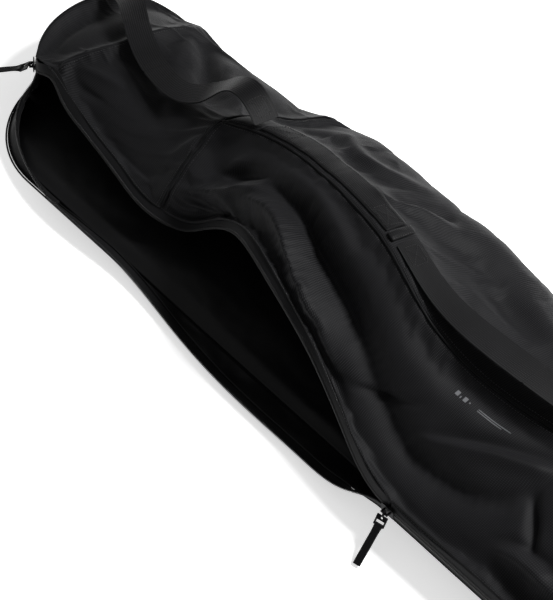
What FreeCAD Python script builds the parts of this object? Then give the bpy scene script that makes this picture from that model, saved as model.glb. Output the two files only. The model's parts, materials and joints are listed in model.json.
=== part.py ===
"""Long padded snowboard bag, lying on its back with the side zip part open. Millimetres.

The bag lies along X with its nose end at -X and its tail end at +X. The zip side faces -Y, the fold that the
cover opens about runs along +Y, and Z is up from the floor that the base rests on.
"""
import FreeCAD, Part
import math
import os
import Sketcher
from FreeCAD import Placement, Rotation, Vector

doc = FreeCAD.newDocument("snowboard_bag")

# ------------------------------------------------------------------ driving dimensions
sheet = doc.addObject("Spreadsheet::Sheet", "Dimensions")
DIMENSIONS = [
    ("base_length", 1660), ("base_width", 344), ("zip_corner_radius", 150), ("fold_corner_radius", 80),
    ("base_fabric", 2), ("base_foam", 6), ("base_lining_fabric", 1.2), ("padding_inset", 14),
    ("zip_height", 46.7), ("zip_side", 197), ("zip_end", 845), ("nose_zip_height", 76),
    ("nose_arc_radius", 140), ("nose_arc_x", 705), ("nose_arc_y", 45), ("nose_slider_angle", 50),
    ("tail_arc_radius", 150), ("tail_arc_x", 695), ("side_slider_x", 85),
    ("bead_size", 3), ("bead_spacing", 5.4), ("tape_width", 13.5), ("tape_thickness", 0.8),
    ("wall_thickness", 2), ("cover_fabric", 1.5), ("cover_foam", 5), ("cover_lining_fabric", 1),
    ("layer_gap", 0.8), ("fold_side", 178), ("fold_height", 45), ("fold_gap", 1), ("hem_gap", 3),
    ("webbing_width", 38), ("webbing_thickness", 2), ("piping_radius", 1.3),
    ("slider_length", 21), ("slider_width", 15), ("slider_plate", 1.2), ("slider_gap", 6),
    ("bail_reach", 5.9), ("bail_width", 2.6), ("bail_leg", 2), ("bail_bar", 2.4), ("bail_opening", 7),
    ("post_length", 6),
    ("post_width", 2), ("eye_radius", 3.2), ("eye_wire", 1), ("link_width", 15), ("link_length", 14),
    ("link_thickness", 2.2), ("link_window_width", 11), ("link_window_length", 5.6), ("lock_hole_radius", 1.6),
    ("link_bar", 1.9), ("ribbon_width", 9.6), ("ribbon_thickness", 1.6), ("ribbon_length", 55), ("ribbon_bore", 1.8),
]
for row, (alias, size) in enumerate(DIMENSIONS, start=1):
    sheet.set(f"A{row}", alias)
    sheet.set(f"B{row}", str(size))
    sheet.setAlias(f"B{row}", alias)
doc.recompute()


def size(alias):
    return float(sheet.get(alias))


def cell(alias):
    return "Dimensions." + alias


# ------------------------------------------------------------------ shared makers
def smooth(points, count):
    """Points evenly spaced along the smooth curve through the given points."""
    curve = Part.BSplineCurve()
    curve.interpolate(points)
    return curve.discretize(Number=count)


def surface_through(grid):
    """A smooth surface through a grid of points, which is first filled in with even spacing both ways."""
    along, across = max(4, 3 * len(grid)), max(4, 3 * len(grid[0]))
    rows = [smooth(row, across) for row in grid]
    columns = [smooth([row[k] for row in rows], along) for k in range(across)]
    made = Part.BSplineSurface()
    made.interpolate([[column[i] for column in columns] for i in range(along)])
    return made


def surface_points(grid, depth, trims, counts):
    """Points of the surface through grid, moved inwards by depth. trims are the four shares cut off its edges."""
    made = surface_through(grid)
    u_low, u_high, v_low, v_high = made.bounds()
    along, across = counts
    rows = []
    for i in range(along):
        u = u_low + (u_high - u_low) * (trims[0] + (1 - trims[0] - trims[1]) * i / (along - 1))
        line = []
        for k in range(across):
            v = v_low + (v_high - v_low) * (trims[2] + (1 - trims[2] - trims[3]) * k / (across - 1))
            line.append(made.value(u, v) - made.normal(u, v) * depth)
        rows.append(line)
    return rows


def boundary(made):
    """The four boundary curves of a B-spline surface, in a fixed order."""
    u_low, u_high, v_low, v_high = made.bounds()
    return [made.uIso(u_low), made.uIso(u_high), made.vIso(v_low), made.vIso(v_high)]


def layer(label, grid, top, bottom, trims=(0, 0, 0, 0), counts=None):
    """One closed solid of fabric, foam or webbing, between two depths below the surface through grid."""
    counts = counts or (max(4, 2 * len(grid)), max(4, 2 * len(grid[0])))
    upper, lower = Part.BSplineSurface(), Part.BSplineSurface()
    upper.interpolate(surface_points(grid, top, trims, counts))
    lower.interpolate(surface_points(grid, bottom, trims, counts))
    faces = [upper.toShape(), lower.toShape()]
    for above, below in zip(boundary(upper), boundary(lower)):
        faces.append(Part.makeRuledSurface(above.toShape(), below.toShape(), 1))
    shell = Part.Shell(faces)
    shell.sewShape()
    solid = Part.Solid(shell)
    if solid.Volume < 0:
        solid.reverse()
    return finish(label, solid)


subparts = []


def finish(label, shape):
    made = doc.addObject("Part::Feature", label)
    made.Label = label
    made.Shape = shape
    subparts.append(made)
    return made


def rounded_plate(label, length, width, thickness, near_radius, far_radius, height):
    """A plate with rounded corners, drawn on the floor plane and raised to height. Sizes are sheet formulas."""
    body = doc.addObject("PartDesign::Body", label + "_body")
    body.Label = label
    sketch = body.newObject("Sketcher::SketchObject", label + "_outline")
    plane = [f for f in body.Origin.OriginFeatures if f.Role == "XY_Plane"][0]
    sketch.AttachmentSupport = (plane, [""])
    sketch.MapMode = "FlatFace"
    half_x, half_y = size("base_length") / 2, size("base_width") / 2
    corners = [Vector(-half_x, -half_y), Vector(half_x, -half_y), Vector(half_x, half_y), Vector(-half_x, half_y)]
    for k in range(4):
        sketch.addGeometry(Part.LineSegment(corners[k], corners[(k + 1) % 4]))
    for k in range(4):
        sketch.addConstraint(Sketcher.Constraint("Coincident", k, 2, (k + 1) % 4, 1))
    for k, way in enumerate(("Horizontal", "Vertical", "Horizontal", "Vertical")):
        sketch.addConstraint(Sketcher.Constraint(way, k))
    sketch.addConstraint(Sketcher.Constraint("Symmetric", 0, 1, 2, 1, -1, 1))
    long_side = sketch.addConstraint(Sketcher.Constraint("DistanceX", 0, 1, 0, 2, 2 * half_x))
    short_side = sketch.addConstraint(Sketcher.Constraint("DistanceY", 1, 1, 1, 2, 2 * half_y))
    sketch.setExpression(f"Constraints[{long_side}]", length)
    sketch.setExpression(f"Constraints[{short_side}]", width)
    pad = body.newObject("PartDesign::Pad", label + "_pad")
    pad.Profile = sketch
    pad.setExpression("Length", thickness)
    doc.recompute()
    feature = pad
    for side, radius in ((-1, near_radius), (1, far_radius)):
        uprights = []
        for n, edge in enumerate(feature.Shape.Edges, start=1):
            ends = [v.Point for v in edge.Vertexes]
            straight_up = len(ends) == 2 and abs(ends[0].x - ends[1].x) + abs(ends[0].y - ends[1].y) < 0.01
            if straight_up and edge.CenterOfMass.y * side > half_y / 2 and abs(edge.CenterOfMass.x) > half_x / 2:
                uprights.append(f"Edge{n}")
        corner = body.newObject("PartDesign::Fillet", f"{label}_corner_{side + 1}")
        corner.Base = (feature, uprights[:2] if side < 0 else uprights)
        corner.setExpression("Radius", radius)
        doc.recompute()
        feature = corner
    body.setExpression("Placement.Base.z", height)
    subparts.append(body)
    return body


# ------------------------------------------------------------------ lines that the pieces share
HALF_SPACING = size("bead_spacing") / 2
TAPE_REACH = size("bead_size") / 2 + 0.2 + size("tape_width")
HEM_REACH = TAPE_REACH + size("hem_gap")


def nose_arc(angle, height, radius_change=0.0):
    """A point of the round zip corner at the nose, by its angle from the nose end."""
    reach = size("nose_arc_radius") + radius_change
    turn = math.radians(angle)
    return Vector(-size("nose_arc_x") - reach * math.cos(turn), size("nose_arc_y") - reach * math.sin(turn), height)


def tail_arc(angle, height, radius_change=0.0):
    """A point of the round zip corner at the tail, by its angle from the tail end."""
    reach = size("tail_arc_radius") + radius_change
    turn = math.radians(angle)
    return Vector(size("tail_arc_x") + reach * math.cos(turn),
                  -size("zip_side") + size("tail_arc_radius") - reach * math.sin(turn), height)


# Cover stations: place along X, then (y, z) of the upper zip edge, its lean from level in degrees, then
# (y, z) of the long ridge seam and of the far shoulder.
STATIONS = [
    (-640, (-96, 77), 35, (22, 122), (150, 92)),
    (-550, (-108, 66), 32, (16, 138), (158, 94)),
    (-467, (-113, 58), 32, (11, 160), (163, 96)),
    (-425, (-98, 55), 35, (20, 170), (168, 105)),
    (-391, (-88, 78), 45, (25, 178), (170, 112)),
    (-345, (-90, 118), 50, (25, 190), (171, 120)),
    (-297, (-104, 150), 40, (20, 200), (171, 126)),
    (-208, (-129, 152), 50, (5, 213), (170, 126)),
    (-129, (-143, 120), 62, (-10, 212), (168, 118)),
    (-22, (-176, 80), 75, (-36, 180), (163, 104)),
    (85, (-197, 49.4), 90, (-34, 152), (160, 95)),
    (200, (-197, 49.4), 90, (-15, 146), (162, 96)),
    (320, (-197, 49.4), 90, (0, 168), (166, 108)),
    (467, (-197, 49.4), 90, (5, 156), (165, 100)),
    (560, (-197, 49.4), 90, (8, 140), (162, 94)),
    (690, (-197, 49.4), 90, (10, 122), (156, 88)),
]
NEAR_CROWN, FAR_CROWN = 16, 10
# Beyond the ridge the nose seam slants towards the tail, and the rows beside it follow.
SEAM_X, SEAM_SLANT, SLANT_REACH = -467, 78, 150
SLANT_SHARES = (0, 0, 0, 0.45, 0.8, 0.92, 1.0)
WALL_FOOT, WALL_FOOT_HEIGHT = 4.0, 3.2


def cover_row(station):
    """Seven points across the cover, from the upper hem over the ridge down to the fold."""
    x, lip, lean, ridge, shoulder = station
    turn = math.radians(lean)
    hem = Vector(x, lip[0] + HEM_REACH * math.cos(turn), lip[1] + HEM_REACH * math.sin(turn))
    top = Vector(x, *ridge)
    edge = Vector(x, *shoulder)
    near_middle = (hem + top) * 0.5 + Vector(0, -0.3, 1) * NEAR_CROWN
    far_middle = (top + edge) * 0.5 + Vector(0, 0, FAR_CROWN)
    fold = Vector(x, size("fold_side"), size("fold_height") + size("fold_gap"))
    row = [hem, near_middle, top, far_middle, edge, (edge + fold) * 0.5 + Vector(0, 4, 3), fold]
    slant = SEAM_SLANT * math.exp(-(((x - SEAM_X) / SLANT_REACH) ** 2))
    return [point + Vector(slant * share, 0, 0) for point, share in zip(row, SLANT_SHARES)]


ROWS = [cover_row(s) for s in STATIONS]
NOSE_CREASE = [Vector(*p) for p in ((-752, -63, 102), (-738, -25, 115), (-716, 22, 122), (-702, 86, 118),
                                    (-695, 142, 96), (-698, 170, 72), (-702, 178, 46))]
NOSE_SLOPE = [Vector(*p) for p in ((-776, -60, 100), (-786, -18, 108), (-786, 32, 110), (-778, 88, 104),
                                   (-765, 140, 84), (-752, 168, 62), (-737, 178, 46))]
NOSE_HEM = [nose_arc(50, size("nose_zip_height") + HALF_SPACING + HEM_REACH),
            nose_arc(25, size("nose_zip_height") + HALF_SPACING + HEM_REACH),
            nose_arc(0, size("nose_zip_height") + HALF_SPACING + HEM_REACH), Vector(-845, 92, 86),
            Vector(-843, 132, 71), Vector(-816, 164, 56), Vector(-770, 178, 46)]
TAIL_SLOPE = [Vector(*p) for p in ((718, -190, 72), (750, -120, 96), (768, -30, 106), (768, 40, 104),
                                   (764, 110, 90), (756, 158, 66), (737, 178, 46))]
TAIL_HEM = [tail_arc(75, 68), tail_arc(48, 68), tail_arc(16, 68), Vector(845, 10, 68), Vector(845, 90, 68),
            Vector(828, 152, 58), Vector(770, 178, 46)]

SIDE_LIP = [nose_arc(size("nose_slider_angle") + 1.4, size("nose_zip_height") + HALF_SPACING),
            nose_arc(size("nose_slider_angle") + 6, size("nose_zip_height") + HALF_SPACING + 0.6),
            Vector(-754, -71, 88), Vector(-710, -83, 86)]
SIDE_LIP += [Vector(s[0], *s[1]) for s in STATIONS if s[0] < 0] + [Vector(68, -197, 51), Vector(84, -197, 49.4)]
SIDE_LEANS = [90, 84, 62, 45] + [s[2] for s in STATIONS if s[0] < 0] + [90, 90]
BASE_LIP = [Vector(*p) for p in ((84, -197, 44), (66, -197, 42.5), (18, -208, 28), (-63, -210, 14),
                                 (-181, -209, 11), (-314, -199, 11), (-450, -183, 18), (-528, -184, 26),
                                 (-631, -182, 28), (-702, -163, 32), (-748, -138, 40), (-770, -112, 53),
                                 (-776, -89, 64))]
BASE_LIP += [nose_arc(size("nose_slider_angle") + 6.5, size("nose_zip_height") - HALF_SPACING - 1.6),
             nose_arc(size("nose_slider_angle") + 3.5, size("nose_zip_height") - HALF_SPACING - 0.3),
             nose_arc(size("nose_slider_angle") + 1.4, size("nose_zip_height") - HALF_SPACING)]

# ------------------------------------------------------------------ base: bottom, padding and lining
rounded_plate("bottom_panel", cell("base_length"), cell("base_width"), cell("base_fabric"),
              cell("zip_corner_radius"), cell("fold_corner_radius"), "0")
for label, thickness, height in (
    ("base_padding", "base_foam", cell("base_fabric") + " + " + cell("layer_gap")),
    ("base_lining", "base_lining_fabric",
     f"{cell('base_fabric')} + {cell('base_foam')} + 2 * {cell('layer_gap')}"),
):
    inset = f" - 2 * {cell('padding_inset')}"
    rounded_plate(label, cell("base_length") + inset, cell("base_width") + inset, cell(thickness),
                  f"{cell('zip_corner_radius')} - {cell('padding_inset')}",
                  f"{cell('fold_corner_radius')} - {cell('padding_inset')}", height)


def plate_outline(grow, height):
    """The rounded outline of the bottom panel, grown by an amount, as a closed wire."""
    half_x, half_y = size("base_length") / 2 + grow, size("base_width") / 2 + grow
    near, far = size("zip_corner_radius") + grow, size("fold_corner_radius") + grow
    edges = []
    corners = [(-1, -1, near), (1, -1, near), (1, 1, far), (-1, 1, far)]
    ends = []
    for sx, sy, radius in corners:
        centre = Vector(sx * (half_x - radius), sy * (half_y - radius), height)
        middle = centre + Vector(sx, sy, 0).normalize() * radius
        first = centre + Vector(sx * radius, 0, 0)
        last = centre + Vector(0, sy * radius, 0)
        pair = (last, first) if sx * sy < 0 else (first, last)
        ends.append((pair[0], middle, pair[1]))
    for k, (first, middle, last) in enumerate(ends):
        edges.append(Part.Arc(first, middle, last).toShape())
        edges.append(Part.LineSegment(last, ends[(k + 1) % 4][0]).toShape())
    return Part.Wire(Part.__sortEdges__(edges))


piping_path = plate_outline(size("piping_radius") + 0.3, size("piping_radius") + 0.1)
start = piping_path.Edges[0].Vertexes[0].Point
tangent = piping_path.Edges[0].tangentAt(piping_path.Edges[0].FirstParameter)
ring = Part.Wire(Part.Circle(start, tangent, size("piping_radius")).toShape())
finish("base_piping", piping_path.makePipeShell([ring], True, False))

# ------------------------------------------------------------------ base: side walls up to the zip
def wall_grid(feet, heads):
    """Three points up the wall at each step: foot, middle and head."""
    return [[f, (f + h) * 0.5, h] for f, h in zip(feet, heads)]


base_lip_line = smooth(BASE_LIP, 30)
lip_heads = []
for k, point in enumerate(base_lip_line):
    ahead = base_lip_line[min(k + 1, 29)] - base_lip_line[max(k - 1, 0)]
    outward = Vector(ahead.y, -ahead.x, 0).normalize() * -1
    if outward.dot(Vector(0.3, -1, 0)) < 0:
        outward = outward * -1
    flat = max(0.0, min(1.0, (44 - point.z) / 22))
    way = (Vector(0, 0, -1) * (1 - flat) + (outward * -0.94 + Vector(0, 0, -0.2)) * flat).normalize()
    if k > 20:
        rise = min(1.0, (k - 20) / 5)
        way = (way * (1 - rise) + Vector(0, 0, -1) * rise).normalize()
    lip_heads.append((point, way, outward))


def near_foot(head):
    """The wall's foot that stands nearest under a head point on the zip side."""
    half_x, half_y = size("base_length") / 2 - WALL_FOOT, size("base_width") / 2 - WALL_FOOT
    radius = size("zip_corner_radius") - WALL_FOOT
    if abs(head.x) < half_x - radius:
        return Vector(head.x, -half_y, WALL_FOOT_HEIGHT)
    sx = math.copysign(1, head.x)
    centre = Vector(sx * (half_x - radius), -(half_y - radius), 0)
    way = Vector(head.x - centre.x, head.y - centre.y, 0)
    if way.y > 0:
        return Vector(sx * half_x, centre.y + way.y * 0.72, WALL_FOOT_HEIGHT)
    return centre + way.normalize() * radius + Vector(0, 0, WALL_FOOT_HEIGHT)


open_wall = []
for point, way, outward in lip_heads:
    head = point + way * HEM_REACH
    open_wall.append([near_foot(head), (near_foot(head) + head) * 0.5, head])
layer("side_wall_open", open_wall, -size("wall_thickness") / 2, size("wall_thickness") / 2, counts=(40, 4))

closed_heads = [Vector(x, -size("zip_side"), size("zip_height") - HALF_SPACING - HEM_REACH)
                for x in (86, 240, 400, 560, 692)]
closed_grid = wall_grid([near_foot(h) for h in closed_heads], closed_heads)
layer("side_wall_closed", closed_grid, -size("wall_thickness") / 2, size("wall_thickness") / 2, counts=(6, 4))

wall_top = size("zip_height") - HALF_SPACING - HEM_REACH
tail_heads = [tail_arc(a, wall_top) for a in (88, 72, 54, 36, 18, 0)]
tail_heads += [Vector(size("zip_end"), y, wall_top) for y in (10, 70, 128)]
layer("tail_wall", wall_grid([near_foot(h) for h in tail_heads], tail_heads), -size("wall_thickness") / 2,
      size("wall_thickness") / 2, counts=(22, 4))

NOSE_TRACK = [nose_arc(a, size("nose_zip_height")) for a in (50, 40, 30, 20, 10, 0)]
NOSE_TRACK += [Vector(-845, 75, 72), Vector(-845, 102, 61), Vector(-845, 124, 52)]
nose_heads = [p - Vector(0, 0, HALF_SPACING + HEM_REACH) for p in NOSE_TRACK]
nose_heads[0] = nose_arc(46, size("nose_zip_height") - HALF_SPACING - HEM_REACH)
layer("nose_wall", wall_grid([near_foot(h) for h in nose_heads], nose_heads), -size("wall_thickness") / 2,
      size("wall_thickness") / 2, counts=(22, 4))

far_heads = [Vector(-844, 134, 46), Vector(-832, 154, 44), Vector(-806, 170, 44), Vector(-765, 177, 44)]
far_heads += [Vector(x, 177, 44) for x in (-500, -170, 170, 500)]
far_heads += [Vector(-p.x, p.y, p.z) for p in far_heads[3::-1]]


def far_foot(head):
    """The wall's foot that stands nearest under a head point on the fold side."""
    half_x, half_y = size("base_length") / 2 - WALL_FOOT, size("base_width") / 2 - WALL_FOOT
    radius = size("fold_corner_radius") - WALL_FOOT
    centre = Vector(math.copysign(half_x - radius, head.x), half_y - radius, 0)
    if abs(head.x) < half_x - radius:
        return Vector(head.x, half_y, WALL_FOOT_HEIGHT)
    way = Vector(head.x - centre.x, head.y - centre.y, 0).normalize()
    return centre + way * radius + Vector(0, 0, WALL_FOOT_HEIGHT)


layer("far_wall", wall_grid([far_foot(h) for h in far_heads], far_heads), -size("wall_thickness") / 2,
      size("wall_thickness") / 2, counts=(40, 4))

# ------------------------------------------------------------------ zip: tapes and beads
HALF_BEAD = size("bead_size") / 2
TAPE_START = HALF_BEAD + 0.2


def strip_along(points, ways, start, reach):
    """A grid along points: from start to reach along each way."""
    return [[p + w * start, p + w * ((start + reach) / 2), p + w * reach] for p, w in zip(points, ways)]


def zip_half(name, points, ways, count):
    """One half of the zip: its woven tape and its bead of coil, along the bead's centre line."""
    half = size("tape_thickness") / 2
    layer(name + "_tape", strip_along(points, ways, TAPE_START, TAPE_REACH), -half, half, counts=(count, 4))
    layer(name + "_coil", strip_along(points, ways, -HALF_BEAD, HALF_BEAD), -HALF_BEAD, HALF_BEAD,
          counts=(count, 4))


def closed_run(points, sign):
    """A shut run of the zip's centre line, moved to the upper (+1) or lower (-1) bead, with the tape's way."""
    shift = Vector(0, 0, sign)
    return [p + shift * HALF_SPACING for p in points], [shift] * len(points)


side_track = [Vector(x, -size("zip_side"), size("zip_height")) for x in (87, 240, 400, 560, 694)]
tail_track = [tail_arc(a, size("zip_height")) for a in (89.6, 72, 54, 36, 18, 0)]
tail_track += [Vector(size("zip_end"), y, size("zip_height")) for y in (10, 70, 128)]

lip_line = smooth(SIDE_LIP, 40)
lean_at = []
for point in lip_line:
    spans = [(abs(point.x - p.x), k) for k, p in enumerate(SIDE_LIP)]
    nearest = sorted(spans)[:2]
    (d0, k0), (d1, k1) = nearest
    share = d0 / max(d0 + d1, 0.01)
    lean_at.append(SIDE_LEANS[k0] * (1 - share) + SIDE_LEANS[k1] * share)
lip_ways = [Vector(0, math.cos(math.radians(a)), math.sin(math.radians(a))) for a in lean_at]
zip_half("upper_open", lip_line, lip_ways, 60)
zip_half("lower_open", [p for p, w, o in lip_heads], [w for p, w, o in lip_heads], 44)
for sign, name in ((1, "upper"), (-1, "lower")):
    zip_half(name + "_side", *closed_run(side_track, sign), 6)
    zip_half(name + "_tail", *closed_run(tail_track, sign), 22)
    zip_half(name + "_nose", *closed_run(NOSE_TRACK, sign), 22)

# ------------------------------------------------------------------ cover: panels, foam and lining
main_first = [s[0] for s in STATIONS].index(-467)
main_last = [s[0] for s in STATIONS].index(467)
nose_rows = [NOSE_CREASE] + ROWS[: main_first + 1]
main_rows = ROWS[main_first: main_last + 1]
tail_rows = ROWS[main_last:]
RIDGE = 2
fabric, foam, lining = size("cover_fabric"), size("cover_foam"), size("cover_lining_fabric")
gap = size("layer_gap")

PANELS = {
    "nose": (nose_rows, (0.004, 0.004, 0.004, 0), (20, 20)),
    "near": ([r[: RIDGE + 1] for r in main_rows], (0.002, 0.002, 0, 0.006), (28, 8)),
    "far": ([r[RIDGE:] for r in main_rows], (0.002, 0.002, 0.004, 0), (28, 12)),
    "tail": (tail_rows, (0.004, 0.004, 0.004, 0), (20, 24)),
}
foam_top = fabric + gap
lining_top = foam_top + foam + gap
for name, (grid, trims, counts) in PANELS.items():
    inset = (0.012 if name in ("near", "far") else 0.03, 0.012 if name in ("near", "far") else 0.03, 0.05, 0.05)
    layer(name + "_panel", grid, 0, fabric, trims, counts)
    layer(name + "_padding", grid, foam_top, foam_top + foam, inset, counts)
    layer(name + "_lining", grid, lining_top, lining_top + lining, inset, counts)
layer("nose_gusset", [NOSE_HEM, NOSE_SLOPE, NOSE_CREASE], 0, fabric, (0.02, 0.012, 0.02, 0.01), (8, 14))
layer("tail_gusset", [tail_rows[-1], TAIL_SLOPE, TAIL_HEM], 0, fabric, (0.012, 0.02, 0.03, 0.01), (8, 14))
# ------------------------------------------------------------------ cover: piping, webbing and keepers
PIPE = 2 * size("piping_radius")


def strip_on(grid, u_shares, v_shares, width, lifts, crossing=False):
    """Rows of three points of a strip that follows the surface through grid, at the given lifts above it.

    The strip runs along the bag, or across it where crossing is set.
    """
    made = surface_through(grid)
    u_low, u_high, v_low, v_high = made.bounds()
    rows = []
    for u_share, v_share, lift in zip(u_shares, v_shares, lifts):
        u = u_low + (u_high - u_low) * u_share
        v = v_low + (v_high - v_low) * v_share
        du, dv = made.getDN(u, v, 1, 0).Length, made.getDN(u, v, 0, 1).Length
        u_step = width / 2 / du if crossing else 0
        v_step = 0 if crossing else width / 2 / dv
        row = []
        for way in (-1, 0, 1):
            at_u = min(max(u + way * u_step, u_low), u_high)
            at_v = min(max(v + way * v_step, v_low), v_high)
            out = made.normal(at_u, at_v)
            slack = Vector()
            if crossing and at_u != u + way * u_step:
                slack = made.getDN(at_u, at_v, 1, 0).normalize() * ((u + way * u_step - at_u) * du)
            row.append(made.value(at_u, at_v) + out * lift + slack)
        rows.append(row)
    return rows


def shares(first, last, count):
    return [first + (last - first) * k / (count - 1) for k in range(count)]


def lying_strip(label, grid, u_share, v_share, width, thickness, lift, count=24, crossing=False):
    """A strip of even thickness that lies on the surface through grid."""
    rows = strip_on(grid, shares(*u_share, count), shares(*v_share, count), width, [lift] * count, crossing)
    depths = (0, thickness) if crossing else (-thickness, 0)
    return layer(label, rows, *depths, counts=(count, 5))


far_rows = [r[RIDGE:] for r in main_rows]
lying_strip("ridge_piping", far_rows, (0.012, 0.988), (0.01, 0.01), PIPE, PIPE, 0.5, 40)
near_rows = [r[: RIDGE + 1] for r in main_rows]
for label, place in (("nose_seam_piping", 0.005), ("tail_seam_piping", 0.995)):
    halves = [lying_strip(label + "_half", near_rows, (place, place), (0.03, 0.97), PIPE, PIPE, 0.5, 16, True),
              lying_strip(label + "_half", far_rows, (place, place), (0.04, 0.985), PIPE, PIPE, 0.5, 16, True)]
    for half in halves:
        subparts.remove(half)
    finish(label, Part.Compound([half.Shape for half in halves]))

web, thick = size("webbing_width"), size("webbing_thickness")
STRAP_V = 0.105
lying_strip("front_webbing", far_rows, (0.06, 0.345), (STRAP_V, STRAP_V), web, thick, 0.6, 20)
lying_strip("rear_webbing", far_rows, (0.905, 0.985), (STRAP_V, STRAP_V), web, thick, 0.6, 10)
lying_strip("front_keeper", far_rows, (0.352, 0.365), (STRAP_V, STRAP_V), web + 4, 3.2, 0.6, 4)
lying_strip("rear_keeper", far_rows, (0.885, 0.898), (STRAP_V, STRAP_V), web + 4, 3.2, 0.6, 4)
lying_strip("printed_patch", near_rows, (0.564, 0.652), (0.85, 0.86), 9, 0.6, 0.3, 8)


def strap(label, points, across, count):
    """A webbing handle along a smooth line, with the way across given at each of the line's own points."""
    line = smooth(points, count)
    rows = []
    for k, point in enumerate(line):
        place = k * (len(across) - 1) / (count - 1)
        low = min(int(place), len(across) - 2)
        way = (across[low] * (1 - place + low) + across[low + 1] * (place - low)).normalize()
        ahead = (line[min(k + 1, count - 1)] - line[max(k - 1, 0)]).normalize()
        way = (way - ahead * way.dot(ahead)).normalize()
        rows.append([point - way * (web / 2), point, point + way * (web / 2)])
    return layer(label, rows, -thick / 2, thick / 2, counts=(count, 4))


LEVEL = Vector(0, 1, 0)
NOSE_HANDLE = [Vector(*p) for p in ((-850, 116, 88), (-792, 104, 114), (-724, 68, 130), (-664, 38, 132),
                                    (-598, 18, 139), (-544, 18, 149), (-508, 36, 171), (-478, 46, 197),
                                    (-448, 45, 205), (-424, 41, 198), (-406, 37, 186))]
strap("nose_handle", NOSE_HANDLE, [LEVEL, LEVEL, Vector(0.3, 1, -0.2), Vector(0.5, 1, 0), Vector(0.2, 1, 0),
                                   Vector(-0.2, 1, 0.2), LEVEL, LEVEL], 36)
CARRY_LIFTS = [1.0, 1.4, 5, 12, 20, 27, 31, 32, 30, 25, 17, 9, 3, 1.4, 1.0]
carry_rows = strip_on(far_rows, shares(0.374, 0.876, len(CARRY_LIFTS)), [STRAP_V] * len(CARRY_LIFTS), web, CARRY_LIFTS)
layer("carry_handle", carry_rows, -thick, 0, counts=(30, 5))
TAIL_HANDLE = [Vector(*p) for p in ((425, 30, 172), (470, 30, 180), (530, 24, 172), (600, 20, 150), (680, 24, 134),
                                    (750, 30, 118), (812, 30, 95), (846, 30, 78))]
strap("tail_handle", TAIL_HANDLE, [LEVEL] * 4, 30)


# ------------------------------------------------------------------ zip sliders and their pulls
def boxed(name, lengths, corner):
    """A box whose sides follow sheet formulas, with its low corner at the given formulas."""
    made = doc.addObject("Part::Box", name)
    for side, formula in zip(("Length", "Width", "Height"), lengths):
        made.setExpression(side, formula)
    for axis, formula in zip("xyz", corner):
        made.setExpression(f"Placement.Base.{axis}", formula)
    return made


def joined(kind, name, pieces):
    made = doc.addObject(kind, name)
    if kind == "Part::MultiFuse":
        made.Shapes = pieces
    else:
        made.Base, made.Tool = pieces
    return made


def slider(label, placement, open_side):
    """Two plates with the zip between them, joined by a post, and a bail on the outer one for the pull.

    Its own Y faces inwards and its own Z is up. The post is at the end of its own X where the zip lies open.
    """
    long_, wide, plate, mouth = (cell(a) for a in ("slider_length", "slider_width", "slider_plate", "slider_gap"))
    bail_cells = ("bail_reach", "bail_width", "bail_leg", "bail_bar", "bail_opening")
    reach, bail, leg, bar, opening = (cell(a) for a in bail_cells)
    outer = boxed(label + "_outer", (long_, plate, wide), (f"-{long_} / 2", f"-{mouth} / 2 - {plate}", f"-{wide} / 2"))
    inner = boxed(label + "_inner", (long_, plate, wide), (f"-{long_} / 2", f"{mouth} / 2", f"-{wide} / 2"))
    post = boxed(label + "_post", (cell("post_length"), mouth, cell("post_width")),
                 (f"{open_side} * ({long_} - {cell('post_length')}) / 2 - {cell('post_length')} / 2",
                  f"-{mouth} / 2", f"-{cell('post_width')} / 2"))
    face = f"-{mouth} / 2 - {plate}"
    block = boxed(label + "_bail_block", (f"{opening} + 2 * {leg}", reach, bail),
                  (f"-{opening} / 2 - {leg}", f"{face} - {reach}", f"-{bail} / 2"))
    window = boxed(label + "_bail_window", (opening, f"{reach} - {bar}", f"2 * {bail}"),
                   (f"-{opening} / 2", f"{face} - {reach} + {bar}", f"-{bail}"))
    bail_arch = joined("Part::Cut", label + "_bail", (block, window))
    body = joined("Part::MultiFuse", label + "_body", [outer, inner, post, bail_arch])
    doc.recompute()
    corners = [n for n, e in enumerate(body.Shape.Edges, start=1)
               if abs(abs(e.CenterOfMass.x) - size("slider_length") / 2) < 0.1
               and abs(abs(e.CenterOfMass.z) - size("slider_width") / 2) < 0.1]
    rounded = doc.addObject("Part::Fillet", label)
    rounded.Base = body
    rounded.Edges = [(n, 3.0, 3.0) for n in corners]
    rounded.Label = label
    rounded.Placement = placement
    subparts.append(rounded)
    return rounded


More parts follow.
